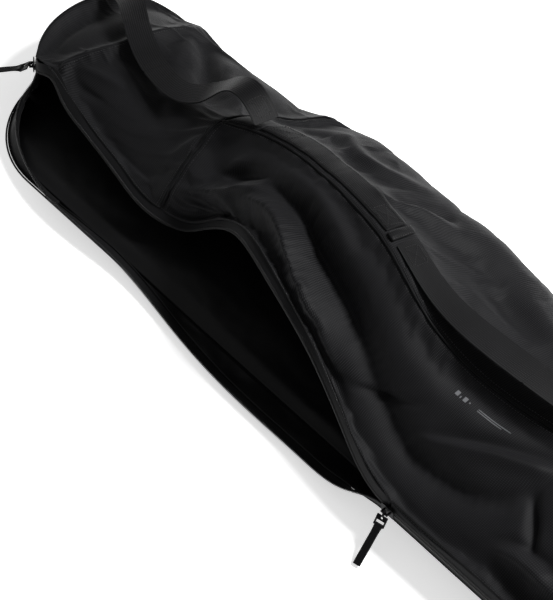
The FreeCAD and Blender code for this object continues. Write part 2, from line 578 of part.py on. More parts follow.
def pull_link(label, placement):
    """The metal link: a round eye through the bail, and a flat frame with a lock hole that holds the ribbon.

    Its own X is the pivot through the eye, and it hangs along its own -Z.
    """
    eye = doc.addObject("Part::Torus", label + "_eye")
    eye.setExpression("Radius1", cell("eye_radius"))
    eye.setExpression("Radius2", cell("eye_wire"))
    eye.Placement = Placement(Vector(), Rotation(Vector(0, 1, 0), 90))
    top = f"-{cell('eye_radius')} - {cell('eye_wire')} / 2"
    thickness, width, length = cell("link_thickness"), cell("link_width"), cell("link_length")
    frame = boxed(label + "_frame", (width, thickness, length),
                  (f"-{width} / 2", f"-{thickness} / 2", f"{top} - {length}"))
    window = boxed(label + "_window", (cell("link_window_width"), f"2 * {thickness}", cell("link_window_length")),
                   (f"-{cell('link_window_width')} / 2", f"-{thickness}",
                    f"{top} - {length} + {cell('link_bar')}"))
    hole = doc.addObject("Part::Cylinder", label + "_lock_hole")
    hole.setExpression("Radius", cell("lock_hole_radius"))
    hole.setExpression("Height", f"2 * {thickness}")
    hole.Placement = Placement(Vector(0, size("link_thickness"), -size("eye_radius") - 3.6),
                               Rotation(Vector(1, 0, 0), 90))
    pierced = joined("Part::Cut", label + "_pierced", (frame, window))
    drilled = joined("Part::Cut", label + "_drilled", (pierced, hole))
    whole = joined("Part::MultiFuse", label, [eye, drilled])
    whole.Label = label
    whole.Placement = placement
    subparts.append(whole)
    return whole


def pull_ribbon(label, placement):
    """A folded webbing ribbon round the link's lower bar. Its own X is the bar, and it hangs along its own -Z."""
    wide, thin, bore_radius = size("ribbon_width"), size("ribbon_thickness"), size("ribbon_bore")
    side = Vector(-wide / 2, 0, 0)
    tube = Part.makeCylinder(bore_radius + thin * 0.75, wide, side, Vector(1, 0, 0))
    bore = Part.makeCylinder(bore_radius, wide, side, Vector(1, 0, 0))
    tongue = Part.makeBox(wide, thin, size("ribbon_length"), Vector(-wide / 2, -thin / 2, -size("ribbon_length")))
    made = finish(label, tube.fuse(tongue).cut(bore).removeSplitter())
    made.Placement = placement
    return made


def zip_set(name, centre, inward, open_side, drop, swing, ribbon_drop):
    """A slider with its link and ribbon. inward points from the zip into the bag; drop and ribbon_drop are the
    angles below level of the link and the ribbon, and swing turns them about the upright."""
    up = Vector(0, 0, 1)
    along = inward.cross(up)
    turn = Rotation(along, inward, up, "ZXY")
    slider(name + "_slider", Placement(centre, turn), open_side)
    face = size("slider_gap") / 2 + size("slider_plate") + size("bail_reach") - size("bail_bar") / 2
    eye_centre = centre - inward * face
    aside = Rotation(up, swing).multVec(along)
    out = up.cross(aside) * -1
    hang = out * math.cos(math.radians(drop)) - up * math.sin(math.radians(drop))
    link_turn = Rotation(aside, (hang * -1).cross(aside), hang * -1, "ZXY")
    pull_link(name + "_pull_link", Placement(eye_centre, link_turn))
    bar = eye_centre + hang * (size("eye_radius") + size("eye_wire") / 2 + size("link_length") - size("link_bar") / 2)
    lay = out * math.cos(math.radians(ribbon_drop)) - up * math.sin(math.radians(ribbon_drop))
    ribbon_turn = Rotation(aside, (lay * -1).cross(aside), lay * -1, "ZXY")
    pull_ribbon(name + "_pull_ribbon", Placement(bar, ribbon_turn))


zip_set("side", Vector(size("side_slider_x"), -size("zip_side"), size("zip_height")), Vector(0, 1, 0), -1, 48, 12, 34)
slider_angle = size("nose_slider_angle")
turn = math.radians(slider_angle)
zip_set("nose", nose_arc(slider_angle, size("nose_zip_height")), Vector(math.cos(turn), math.sin(turn), 0), 1, 34, -14, 40)


# ------------------------------------------------------------------ check and write
doc.recompute()
os.makedirs("parts", exist_ok=True)
for thing in doc.Objects:
    if "Invalid" in thing.State or "Error" in thing.State:
        raise RuntimeError(thing.Label + " did not recompute")
for thing in subparts:
    if thing.Shape.isNull() or not thing.Shape.isValid():
        raise RuntimeError(thing.Label + " is not a valid shape")
    thing.Shape.exportStep(os.path.join("parts", thing.Label + ".step"))
print(len(subparts), "sub-parts written")
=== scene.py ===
"""Long padded snowboard bag in black polyester, lying on its back with the side zip part open. Metres.

The nose end is at -X and the tail end at +X. The zip side faces -Y, the cover folds over along +Y, Z is up.
Sizes that are easier to read in millimetres are multiplied by MM.
"""
import json
import math

import bpy
import numpy as np
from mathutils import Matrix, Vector, noise


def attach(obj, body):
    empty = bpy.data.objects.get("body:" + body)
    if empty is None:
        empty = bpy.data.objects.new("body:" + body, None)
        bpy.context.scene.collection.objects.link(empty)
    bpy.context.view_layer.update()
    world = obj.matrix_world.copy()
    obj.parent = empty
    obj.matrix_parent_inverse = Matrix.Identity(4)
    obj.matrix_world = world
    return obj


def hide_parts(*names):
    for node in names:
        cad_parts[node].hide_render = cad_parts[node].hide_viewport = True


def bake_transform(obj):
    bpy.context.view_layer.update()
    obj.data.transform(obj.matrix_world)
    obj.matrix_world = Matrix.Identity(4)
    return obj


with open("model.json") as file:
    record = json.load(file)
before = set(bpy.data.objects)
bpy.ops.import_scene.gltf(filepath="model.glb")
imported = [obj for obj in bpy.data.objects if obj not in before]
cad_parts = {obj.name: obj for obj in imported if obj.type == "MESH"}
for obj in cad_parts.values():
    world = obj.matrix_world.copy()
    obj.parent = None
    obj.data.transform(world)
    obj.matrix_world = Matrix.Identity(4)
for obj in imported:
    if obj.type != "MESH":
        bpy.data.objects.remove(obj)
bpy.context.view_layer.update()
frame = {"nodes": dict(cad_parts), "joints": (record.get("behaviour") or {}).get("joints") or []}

MM = 0.001
scene = bpy.context.scene
bpy.ops.object.select_all(action="DESELECT")


# ---------------- material helpers
def linear(hex_colour):
    """An sRGB hex colour as the linear values that shaders use."""
    channels = [int(hex_colour[k:k + 2], 16) / 255 for k in (1, 3, 5)]
    return tuple(c / 12.92 if c <= 0.04045 else ((c + 0.055) / 1.055) ** 2.4 for c in channels) + (1.0,)


def add(material, kind, inputs=None, **settings):
    """Adds a node with its settings. An input is a plain value, or a (node, output) pair to link from."""
    tree = material.node_tree
    node = tree.nodes.new(kind)
    for name, value in settings.items():
        setattr(node, name, value)
    for name, value in (inputs or {}).items():
        if isinstance(value, tuple) and len(value) == 2 and isinstance(value[0], bpy.types.Node):
            tree.links.new(value[0].outputs[value[1]], node.inputs[name])
        else:
            node.inputs[name].default_value = value
    return node


def new_material(name):
    material = bpy.data.materials.new(name)
    material.use_nodes = True
    material.node_tree.nodes.clear()
    return material


def finish_material(material, shader):
    add(material, "ShaderNodeOutputMaterial", {"Surface": (shader, 0)})
    return material


# A Wave texture repeats every 0.314 units at scale 1, so a period in metres gives this scale.
WAVE_PERIOD = math.pi / 10


def woven(name, dark, light, warp, weft, depth, roughness, sheen, shine=0.07, wear="#1e1e20",
          angle=0.0):
    """A woven cloth on the piece's own flat coordinates: ribs, finer threads across, and dulled patches. The
    raised threads are painted paler, as a painted highlight.
    """
    material = new_material(name)
    flat = add(material, "ShaderNodeUVMap", uv_map="flat")
    turned = add(material, "ShaderNodeMapping",
                 {"Vector": (flat, 0), "Rotation": (0, 0, math.radians(angle))})
    ribs = add(material, "ShaderNodeTexWave",
               {"Vector": (turned, 0), "Scale": WAVE_PERIOD / warp, "Distortion": 0.35, "Detail": 1.0},
               bands_direction="X")
    threads = add(material, "ShaderNodeTexWave", {"Vector": (turned, 0), "Scale": WAVE_PERIOD / weft},
                  bands_direction="Y")
    weave = add(material, "ShaderNodeMath", {0: (ribs, "Fac"), 1: (threads, "Fac")}, operation="MULTIPLY")
    slubs = add(material, "ShaderNodeTexNoise", {"Vector": (flat, 0), "Scale": 900.0, "Detail": 2.0})
    patches = add(material, "ShaderNodeTexNoise", {"Vector": (flat, 0), "Scale": 9.0, "Detail": 5.0})
    height = add(material, "ShaderNodeMath", {0: (weave, 0), 1: (slubs, 0), 2: 0.35},
                 operation="MULTIPLY_ADD")
    # The colour follows the weave's height: raised threads get the light colour as a painted highlight, and
    # the hollows get the dark colour as painted shade.
    colour = add(material, "ShaderNodeMix", {"Factor": (weave, 0), 6: linear(dark), 7: linear(light)},
                 data_type="RGBA")
    rubbed = add(material, "ShaderNodeMapRange", {"Value": (patches, 0), "From Min": 0.5, "From Max": 0.85,
                                                  "To Min": 0.0, "To Max": 0.5})
    worn = add(material, "ShaderNodeMix", {"Factor": (rubbed, 0), 6: (colour, 2), 7: linear(wear)},
               data_type="RGBA")
    dull = add(material, "ShaderNodeMapRange", {"Value": (patches, 0), "From Min": 0.3, "From Max": 0.8,
                                                "To Min": roughness - 0.07, "To Max": roughness + 0.08})
    bump = add(material, "ShaderNodeBump", {"Height": (height, 0), "Strength": 1.0, "Distance": depth})
    shader = add(material, "ShaderNodeBsdfPrincipled",
                 {"Base Color": (worn, 2), "Roughness": (dull, 0), "Normal": (bump, 0),
                  "Specular IOR Level": shine, "Sheen Weight": sheen, "Sheen Roughness": 0.4})
    return finish_material(material, shader)


# Ribbed 600-denier polyester: matte black, with a fine rib that catches the light in short lines.
# The real rib is about 0.8 mm and would not show, so it is drawn at 2.9 mm.
POLYESTER = woven("ribbed_polyester", "#0a0a0b", "#29292b", 2.9 * MM, 1.9 * MM, 0.45 * MM, 0.55, 0.03,
                  angle=4.0)
# The same cloth on the walls and the bottom, with colours painted darker as painted shade for these low
# walls, and a flatter rib where it is rubbed by the floor.
SHADED_WALL_CLOTH = woven("ribbed_polyester_wall_painted_shade", "#060607", "#131314", 2.6 * MM, 1.7 * MM, 0.25 * MM, 0.62, 0.03)
# Nylon taffeta lining: thin, close and slightly slippery, so it is smoother and glossier than the outside.
LINING = woven("nylon_taffeta", "#070708", "#0f0f10", 1.1 * MM, 1.1 * MM, 0.08 * MM, 0.45, 0.02,
               shine=0.2, wear="#121213")
# Polypropylene webbing: heavy ribs straight across the strap, with a crisp shine on each.
# The real rib is 1.3 mm and is drawn at 2.2 mm.
WEBBING = woven("polypropylene_webbing", "#080809", "#1b1b1c", 2.2 * MM, 3.1 * MM, 0.45 * MM, 0.5, 0.04)
# Zip tape: close woven polyester with thin ribs along the zip.
ZIP_TAPE = woven("woven_zip_tape", "#0b0b0c", "#1c1c1d", 3.2 * MM, 1.5 * MM, 0.12 * MM, 0.55, 0.04)
# Grosgrain ribbon on the pulls: strong cross ribs, 1.6 mm apart here.
RIBBON = woven("grosgrain_ribbon", "#070708", "#19191a", 1.8 * MM, 2.4 * MM, 0.4 * MM, 0.5, 0.04)
# Bias-cut polyester over a cord: the same cloth turned to 45 degrees, rubbed paler in patches.
PIPING = woven("bias_cut_piping", "#070708", "#171718", 1.6 * MM, 1.6 * MM, 0.15 * MM, 0.55, 0.04, angle=45.0)


def plain(name, colour, accent, grain, depth, roughness, metallic=0.0, coat=0.0, ior=None):
    """A material on Object coordinates: fine grain in the bump, with a slow change of colour and gloss."""
    material = new_material(name)
    place = add(material, "ShaderNodeTexCoord")
    fine = add(material, "ShaderNodeTexNoise",
               {"Vector": (place, "Object"), "Scale": 1 / grain, "Detail": 3.0})
    slow = add(material, "ShaderNodeTexNoise", {"Vector": (place, "Object"), "Scale": 60.0, "Detail": 4.0})
    share = add(material, "ShaderNodeMapRange", {"Value": (slow, 0), "From Min": 0.45, "From Max": 0.75})
    mixed = add(material, "ShaderNodeMix", {"Factor": (share, 0), 6: linear(colour), 7: linear(accent)},
                data_type="RGBA")
    gloss = add(material, "ShaderNodeMapRange", {"Value": (fine, 0), "From Min": 0.3, "From Max": 0.7,
                                                 "To Min": roughness - 0.08, "To Max": roughness + 0.1})
    bump = add(material, "ShaderNodeBump", {"Height": (fine, 0), "Strength": 0.6, "Distance": depth})
    values = {"Base Color": (mixed, 2), "Roughness": (gloss, 0), "Normal": (bump, 0), "Metallic": metallic,
              "Coat Weight": coat}
    if ior:
        values["IOR"] = ior
    return finish_material(material, add(material, "ShaderNodeBsdfPrincipled", values))


# Closed-cell polyethylene foam: pale grey, with a fine pebbled skin.
FOAM = plain("polyethylene_foam", "#5c5d60", "#6c6d70", 1.5 * MM, 0.2 * MM, 0.8, ior=1.5)
# Nylon coil: one stiff drawn thread, smooth enough for a small bright line on every turn.
COIL = plain("nylon_coil", "#0c0c0d", "#151516", 2 * MM, 0.02 * MM, 0.36, ior=1.45)
# Black nickel over cast zinc: dark, hard and reflective, rubbed to paler metal in places.
SLIDER_METAL = plain("black_nickel_zinc", "#131314", "#2c2c2f", 0.6 * MM, 0.03 * MM, 0.34, metallic=1.0)
# The link has the same finish with more rubbing, because the fingers hold it.
LINK_METAL = plain("rubbed_black_nickel", "#161617", "#343437", 0.6 * MM, 0.03 * MM, 0.3, metallic=1.0)
# Rubber ink: a thin grey print with a dry surface.
PRINT = plain("rubber_ink", "#48494c", "#3a3b3d", 0.5 * MM, 0.03 * MM, 0.6, ior=1.5)
# Bonded polyester thread: a little glossier and paler than the cloth, so that stitches read as fine dashes.
THREAD = plain("bonded_thread", "#0d0d0e", "#161617", 0.3 * MM, 0.05 * MM, 0.45, ior=1.5)


# ---------------- line and surface helpers
def curve_at(points, knots, places):
    """Values at places on the natural cubic spline through points, or rows of points, that stand at knots."""
    points, knots, places = np.asarray(points, float), np.asarray(knots, float), np.asarray(places, float)
    count = len(knots)
    step = np.diff(knots)
    matrix, right = np.eye(count), np.zeros_like(points)
    for k in range(1, count - 1):
        matrix[k, k - 1:k + 2] = step[k - 1], 2 * (step[k - 1] + step[k]), step[k]
        right[k] = 6 * ((points[k + 1] - points[k]) / step[k] - (points[k] - points[k - 1]) / step[k - 1])
    bend = np.linalg.solve(matrix, right.reshape(count, -1)).reshape(right.shape)
    low = np.clip(np.searchsorted(knots, places, side="right") - 1, 0, count - 2)
    wide = (slice(None),) + (None,) * (points.ndim - 1)
    h = step[low][wide]
    a, b = (knots[low + 1] - places)[wide] / h, (places - knots[low])[wide] / h
    cubic = ((a ** 3 - a) * bend[low] + (b ** 3 - b) * bend[low + 1]) * h * h / 6
    return a * points[low] + b * points[low + 1] + cubic


def run_lengths(points):
    """Distance from the first point to each point."""
    return np.concatenate([[0], np.cumsum(np.linalg.norm(np.diff(points, axis=0), axis=1))])


def read_line(line, along, places):
    """Points of a line at places along it, between the distances of its own points."""
    return np.stack([np.interp(places, along, line[:, k]) for k in range(3)], axis=1)


def even_line(points, count, first=0.0, last=1.0):
    """count points evenly spaced along the smooth line through points, from one knot share to another."""
    points = np.asarray(points, float)
    knots = run_lengths(points)
    dense = curve_at(points, knots, np.linspace(knots[-1] * first, knots[-1] * last, 12 * count))
    along = run_lengths(dense)
    return read_line(dense, along, np.linspace(0, along[-1], count))


def blurred(grid, times):
    """A grid with each inner point moved to the mean of its neighbours, a number of times."""
    grid = grid.copy()
    for _ in range(times):
        new = grid.copy()
        new[1:-1, 1:-1] = (grid[:-2, 1:-1] + grid[2:, 1:-1] + grid[1:-1, :-2] + grid[1:-1, 2:]) / 4
        grid = new
    return grid


def grid_normals(grid):
    """Outward unit normals of a grid whose rows run along and whose columns run across."""
    along, across = np.gradient(grid, axis=0), np.gradient(grid, axis=1)
    out = np.cross(along, across)
    return out / np.maximum(np.linalg.norm(out, axis=2, keepdims=True), 1e-9)


def unit(vectors):
    return vectors / np.maximum(np.linalg.norm(vectors, axis=-1, keepdims=True), 1e-9)


def smooth_step(values):
    share = np.clip(values, 0, 1)
    return share * share * (3 - 2 * share)


def between(grid, u, v):
    """Points of a grid at fractional places u along and v across."""
    i = np.clip(np.floor(u).astype(int), 0, grid.shape[0] - 2)
    j = np.clip(np.floor(v).astype(int), 0, grid.shape[1] - 2)
    a, b = (u - i)[..., None], (v - j)[..., None]
    low = grid[i, j] * (1 - b) + grid[i, j + 1] * b
    high = grid[i + 1, j] * (1 - b) + grid[i + 1, j + 1] * b
    return low * (1 - a) + high * a


def new_object(name, vertices, faces, materials, flats=None, smooth=True):
    """A mesh object, with flat coordinates in metres for each face corner where they are given."""
    mesh = bpy.data.meshes.new(name)
    mesh.from_pydata(vertices, [], faces)
    if flats is not None:
        mesh.uv_layers.new(name="flat").data.foreach_set("uv", np.ravel(flats))
    for material in materials:
        mesh.materials.append(material)
    mesh.polygons.foreach_set("use_smooth", [smooth] * len(faces))
    mesh.update()
    made = bpy.data.objects.new(name, mesh)
    scene.collection.objects.link(made)
    return made


def grid_object(name, grid, materials, flip=False):
    """A mesh object from a grid of points, with flat coordinates in metres in its UV map."""
    along, across = grid.shape[:2]
    places = np.arange(along * across).reshape(along, across)
    a, b, c, d = places[:-1, :-1], places[1:, :-1], places[1:, 1:], places[:-1, 1:]
    faces = np.stack((a, d, c, b) if flip else (a, b, c, d), axis=2).reshape(-1, 4)
    u, v = run_lengths(grid.mean(axis=1)), run_lengths(grid.mean(axis=0))
    flat = np.stack(np.meshgrid(u, v, indexing="ij"), axis=2).reshape(-1, 2)
    return new_object(name, grid.reshape(-1, 3).tolist(), faces.tolist(), materials, flat[faces.ravel()])


def select_only(made):
    bpy.ops.object.select_all(action="DESELECT")
    bpy.context.view_layer.objects.active = made
    made.select_set(True)


def apply_all(made):
    """Applies every modifier in order."""
    select_only(made)
    for modifier in list(made.modifiers):
        bpy.ops.object.modifier_apply(modifier=modifier.name)
    made.select_set(False)


def fix_outside(made):
    """Turns every face of a closed mesh outwards."""
    select_only(made)
    bpy.ops.object.mode_set(mode="EDIT")
    bpy.ops.mesh.select_all(action="SELECT")
    bpy.ops.mesh.normals_make_consistent(inside=False)
    bpy.ops.object.mode_set(mode="OBJECT")
    made.select_set(False)


def thicken(made, thickness, levels=1, offset=-1.0, inner_material=0):
    """Smooths the cloth and gives it its thickness, inwards from its outer face."""
    if levels:
        finer = made.modifiers.new("smoother", "SUBSURF")
        finer.levels = finer.render_levels = levels
        finer.use_limit_surface = False
    solid = made.modifiers.new("thickness", "SOLIDIFY")
    solid.thickness, solid.offset = thickness, offset
    solid.material_offset = solid.material_offset_rim = inner_material
    apply_all(made)
    return made


def place(made, body, slot, *nodes):
    """Rides on a body and stands for CAD nodes, which it hides. The slot is not used."""
    if nodes:
        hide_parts(*nodes)
    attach(made, body)
    return made


FLAT_SIZES = []


def declare_sheet(made, grid):
    """Records the flat size of the grid that a sheet was laid out on, for the printout at the end."""
    width = max(np.linalg.norm(np.diff(grid, axis=1), axis=2).sum(axis=1))
    length = max(np.linalg.norm(np.diff(grid, axis=0), axis=2).sum(axis=0))
    sides = np.cross(grid[1:, :-1] - grid[:-1, :-1], grid[:-1, 1:] - grid[:-1, :-1])
    area = float(np.linalg.norm(sides, axis=2).sum())
    width, length = float(width) + 1e-4, float(length) + 1e-4
    area = min(area, width * length)
    FLAT_SIZES.append((made.name, round(width, 3), round(length, 3), round(area, 4)))
    return made


# ---------------- the cover's sections
HALF_SPACING = 2.7
FABRIC_REACH = 12.4  # from the bead to the folded edge of the cloth, which laps over the tape
ZIP_SIDE, ZIP_HEIGHT, NOSE_ZIP_HEIGHT = 197.0, 46.7, 76.0
FOLD = (178.0, 46.0)

# Place along X, then (y, z) of the upper zip edge, its lean from level in degrees, then (y, z) of the ridge
# seam and of the far shoulder. Millimetres.
STATIONS = [
    (-640, (-96, 77), 35, (22, 122), (150, 92)),
    (-550, (-108, 66), 32, (16, 138), (158, 94)),
    (-467, (-113, 58), 32, (11, 160), (163, 96)),
    (-425, (-98, 55), 35, (20, 170), (168, 105)),
    (-391, (-88, 78), 45, (25, 178), (170, 112)),
    (-345, (-90, 118), 50, (25, 190), (171, 120)),
    (-297, (-104, 150), 40, (20, 200), (171, 126)),
    (-208, (-129, 152), 50, (5, 213), (170, 126)),
    (-129, (-143, 120), 62, (-10, 212), (168, 118)),
    (-22, (-176, 80), 75, (-36, 180), (163, 104)),
    (85, (-197, 49.4), 90, (-34, 152), (160, 95)),
    (200, (-197, 49.4), 90, (-15, 146), (162, 96)),
    (320, (-197, 49.4), 90, (0, 168), (166, 108)),
    (467, (-197, 49.4), 90, (5, 156), (165, 100)),
    (560, (-197, 49.4), 90, (8, 140), (162, 94)),
    (690, (-197, 49.4), 90, (10, 122), (156, 88)),
]
NEAR_CROWN, FAR_CROWN = 16, 10
# Beyond the ridge the nose seam slants towards the tail, and the rows beside it follow.
SEAM_X, SEAM_SLANT, SLANT_REACH = -467, 78, 150
SLANT_SHARES = (0, 0, 0, 0.45, 0.8, 0.92, 1.0)


def nose_arc(angle, height):
    """A point of the round zip corner at the nose, by its angle from the nose end."""
    turn = math.radians(angle)
    return (-705 - 140 * math.cos(turn), 45 - 140 * math.sin(turn), height)


def tail_arc(angle, height):
    """A point of the round zip corner at the tail, by its angle from the tail end."""
    turn = math.radians(angle)
    return (695 + 150 * math.cos(turn), -47 - 150 * math.sin(turn), height)


def cover_row(station):
    """Seven points across the cover, from the cloth's edge at the zip over the ridge down to the fold."""
    x, lip, lean, ridge, shoulder = station
    turn = math.radians(lean)
    hem = np.array((x, lip[0] + FABRIC_REACH * math.cos(turn), lip[1] + FABRIC_REACH * math.sin(turn)))
    top, edge, fold = np.array((x, *ridge)), np.array((x, *shoulder)), np.array((x, *FOLD))
    near_middle = (hem + top) / 2 + np.array((0, -0.3, 1)) * NEAR_CROWN
    far_middle = (top + edge) / 2 + np.array((0, 0, FAR_CROWN))
    row = [hem, near_middle, top, far_middle, edge, (edge + fold) / 2 + np.array((0, 4, 3)), fold]
    slant = SEAM_SLANT * math.exp(-(((x - SEAM_X) / SLANT_REACH) ** 2))
    return [point + np.array((slant * share, 0, 0)) for point, share in zip(row, SLANT_SHARES)]


NOSE_CREASE = [(-752, -66, 99), (-738, -25, 115), (-716, 22, 122), (-702, 86, 118), (-695, 142, 96),
               (-698, 170, 72), (-702, *FOLD)]
NOSE_SLOPE = [(-778, -64, 96), (-786, -18, 108), (-786, 32, 110), (-778, 88, 104), (-765, 140, 84),
              (-752, 168, 62), (-737, *FOLD)]
NOSE_TOP = NOSE_ZIP_HEIGHT + HALF_SPACING + FABRIC_REACH
NOSE_HEM = [nose_arc(50, NOSE_TOP), nose_arc(25, NOSE_TOP), nose_arc(0, NOSE_TOP), (-845, 92, 81),
            (-843, 132, 66), (-816, 164, 53), (-770, *FOLD)]
TAIL_TOP = ZIP_HEIGHT + HALF_SPACING + FABRIC_REACH
TAIL_SLOPE = [(718, -191, 68), (750, -120, 96), (768, -30, 106), (768, 40, 104), (764, 110, 90),
              (756, 158, 66), (737, *FOLD)]
TAIL_HEM = [tail_arc(75, TAIL_TOP), tail_arc(48, TAIL_TOP), tail_arc(16, TAIL_TOP), (845, 10, TAIL_TOP),
            (845, 90, TAIL_TOP), (828, 152, 56), (770, *FOLD)]

# Cells of the cover's grid: along the gussets, nose, main and tail panels, and across each side of the ridge.
GUSSET_CELLS, NOSE_CELLS, MAIN_CELLS, TAIL_CELLS = 27, 66, 252, 60
NEAR_CELLS, FAR_CELLS = 54, 72
NOSE_LINE = GUSSET_CELLS
NOSE_SEAM = NOSE_LINE + NOSE_CELLS
TAIL_SEAM = NOSE_SEAM + MAIN_CELLS
TAIL_LINE = TAIL_SEAM + TAIL_CELLS


def cross_line(row):
    """The points across one row, with the ridge exactly at NEAR_CELLS."""
    row = np.asarray(row, float)
    knots = run_lengths(row)
    ridge = knots[2] / knots[-1]
    near = even_line(row, NEAR_CELLS + 1, 0.0, ridge)
    far = even_line(row, FAR_CELLS + 1, ridge, 1.0)
    return np.concatenate([near, far[1:]])


def run_surface(rows, spans):
    """A smooth surface through rows. spans are (first row, last row, cells)."""
    lines = np.stack([cross_line(row) for row in rows])
    knots = run_lengths(lines.mean(axis=1))
    places = [knots[spans[0][0]]]
    for first, last, cells in spans:
        places.extend(np.linspace(knots[first], knots[last], cells + 1)[1:])
    return curve_at(lines, knots, places)


cover_rows = [cover_row(station) for station in STATIONS]
nose_row_count = [s[0] for s in STATIONS].index(-467) + 1
tail_row_first = [s[0] for s in STATIONS].index(467) + 1
top_surface = run_surface([NOSE_CREASE] + cover_rows,
                          [(0, nose_row_count, NOSE_CELLS), (nose_row_count, tail_row_first, MAIN_CELLS),
                           (tail_row_first, len(STATIONS), TAIL_CELLS)])
nose_surface = run_surface([NOSE_HEM, NOSE_SLOPE, NOSE_CREASE], [(0, 2, GUSSET_CELLS)])
tail_surface = run_surface([cover_rows[-1], TAIL_SLOPE, TAIL_HEM], [(0, 2, GUSSET_CELLS)])
cover = np.concatenate([nose_surface[:-1], top_surface, tail_surface[1:]]) * MM
smooth_cover = cover.copy()
smooth_normals = grid_normals(cover)
RIDGE = NEAR_CELLS


# ---------------- folds pressed into the cover
def on_plan(x, y):
    """The cover's point nearest to a place seen from above."""
    apart = np.hypot(cover[..., 0] - x * MM, cover[..., 1] - y * MM)
    return cover[np.unravel_index(apart.argmin(), apart.shape)]


def fold_shape(grid, line, width, height, sharpness=2.0):
    """How far a fold lifts each point: a smooth ridge along a line on plan, dying away at both ends."""
    path = even_line([on_plan(*place) for place in line], 60)
    flat = grid.reshape(-1, 3)
    apart = np.linalg.norm(flat[:, None, :] - path[None, ::2, :], axis=2)
    nearest = apart.argmin(axis=1)
    ends = np.sin(np.pi * np.clip((nearest + 0.5) / len(path[::2]), 0.02, 0.98)) ** 0.6
    lift = height * ends * np.exp(-(apart.min(axis=1) / (width * MM)) ** sharpness)
    return lift.reshape(grid.shape[:2]) * MM


# Each fold: places along it (x, y) seen from above, its half width and its height, negative for a valley.
FOLDS = [
    # the collar of cloth that bunches where the mouth starts to rise
    ([(-470, -84), (-440, -66), (-400, -52), (-360, -44), (-325, -36)], 8, 24, 1.5),
    ([(-462, -98), (-425, -86), (-390, -72), (-352, -66)], 8, -20, 1.6),
    ([(-450, -64), (-420, -36), (-392, -10)], 9, 14, 1.6),
    ([(-438, -46), (-402, -30), (-350, -20)], 9, -16, 1.6),
    ([(-400, -92), (-372, -84), (-345, -80)], 6, 8, 1.6),
    ([(-470, -40), (-450, -10), (-440, 10)], 10, -8, 1.7),
    # the sharp ridge beside the raised lip and the dark valley behind it
    ([(-372, -60), (-320, -55), (-265, -68), (-210, -95), (-130, -118), (-70, -140)], 10, 19, 1.4),
    ([(-345, -28), (-300, -30), (-250, -42), (-195, -66), (-130, -88), (-70, -108)], 17, -30, 1.7),
    ([(-330, -4), (-270, -8), (-200, -30), (-140, -52)], 14, 8, 1.7),
    ([(-300, -95), (-240, -112), (-190, -124)], 6, -7, 1.6),
    ([(-170, -128), (-120, -136), (-80, -150)], 5, 7, 1.6),
    ([(-110, -128), (-70, -146), (-35, -160)], 5, -7, 1.6),
    # the broad valley down the near panel
    ([(-170, -65), (-90, -95), (-15, -125), (50, -145), (110, -146), (215, -111)], 22, -20, 1.7),
    ([(-60, -70), (30, -85), (110, -80), (220, -62)], 22, 6),
    ([(-45, -142), (0, -124), (40, -104)], 5, -9, 1.5),
    ([(50, -139), (128, -95), (213, -60)], 8, 13, 1.4),
    ([(60, -125), (135, -82), (215, -48)], 9, -12, 1.5),
    ([(210, -92), (240, -116), (262, -142)], 7, -16, 1.4),
    ([(222, -164), (258, -152), (315, -157)], 9, 14, 1.5),
    ([(225, -150), (262, -138), (330, -140)], 9, -5),
    # far panel
    ([(-440, 60), (-400, 100), (-330, 130)], 18, 7),
    ([(-355, 132), (-265, 104), (-205, 140)], 14, 11),
    ([(-330, 95), (-280, 80), (-220, 90)], 14, -6),
    ([(-210, 53), (-160, 86), (-110, 119)], 15, 14),
    ([(-210, 75), (-175, 95), (-140, 135)], 12, -8),
    ([(-130, 75), (-82, 100), (0, 92), (70, 70)], 22, -13),
    ([(-60, 55), (10, 60), (90, 75)], 14, 6),
    ([(0, 125), (70, 105), (140, 110)], 16, 6),
    # nose panel and gusset
    ([(-752, -52), (-720, -36), (-680, -28), (-640, -20)], 8, 5),
    ([(-750, -64), (-710, -58), (-650, -52)], 8, -5),
    ([(-665, 150), (-640, 130), (-585, 85), (-525, 40)], 14, -13),
    ([(-655, 60), (-610, 20), (-560, -30)], 12, -7),
    ([(-700, 10), (-650, 0), (-600, -20)], 10, 6),
    # the gusset sinks where nothing fills it
    ([(-800, -95), (-818, -30), (-822, 40), (-815, 100)], 34, -13),
    ([(-560, 120), (-520, 80), (-470, 40)], 12, 9),
    ([(-690, 150), (-660, 110), (-640, 60)], 13, 6),
    ([(-600, 140), (-570, 100), (-520, 70)], 16, 6),
    ([(-600, -40), (-540, -30), (-490, -50)], 16, -4),
    ([(-500, -90), (-490, -40), (-480, 10)], 10, 5),
    # the far shoulder is stuffed out in two places
    ([(-430, 150), (-360, 160), (-290, 155)], 40, 9),
    ([(-150, 150), (-70, 160), (20, 155)], 45, 11),
    # towards the tail, where the cloth hangs between two stuffed places
    ([(180, -130), (215, -80), (225, -30)], 12, -6),
    ([(290, -160), (310, -110), (340, -60)], 14, 6),
    ([(380, -120), (420, -60), (440, 0)], 16, -7),
    ([(240, 60), (280, 110), (300, 150)], 16, -7),
    ([(420, 60), (450, 110), (470, 150)], 16, -6),
    ([(520, -120), (580, -90), (650, -100)], 16, -6),
    ([(540, 60), (610, 90), (680, 70)], 16, -5),
]

along_share, across_share = np.meshgrid(np.arange(cover.shape[0]), np.arange(cover.shape[1]), indexing="ij")
edge_hold = smooth_step(across_share / 6.0) * smooth_step((cover.shape[1] - 1 - across_share) / 7.0)
edge_hold = edge_hold * smooth_step(along_share / 6.0) * smooth_step((cover.shape[0] - 1 - along_share) / 6.0)
lift = sum(fold_shape(cover, *fold) for fold in FOLDS)
cover = cover + grid_normals(cover) * (lift * edge_hold)[..., None]

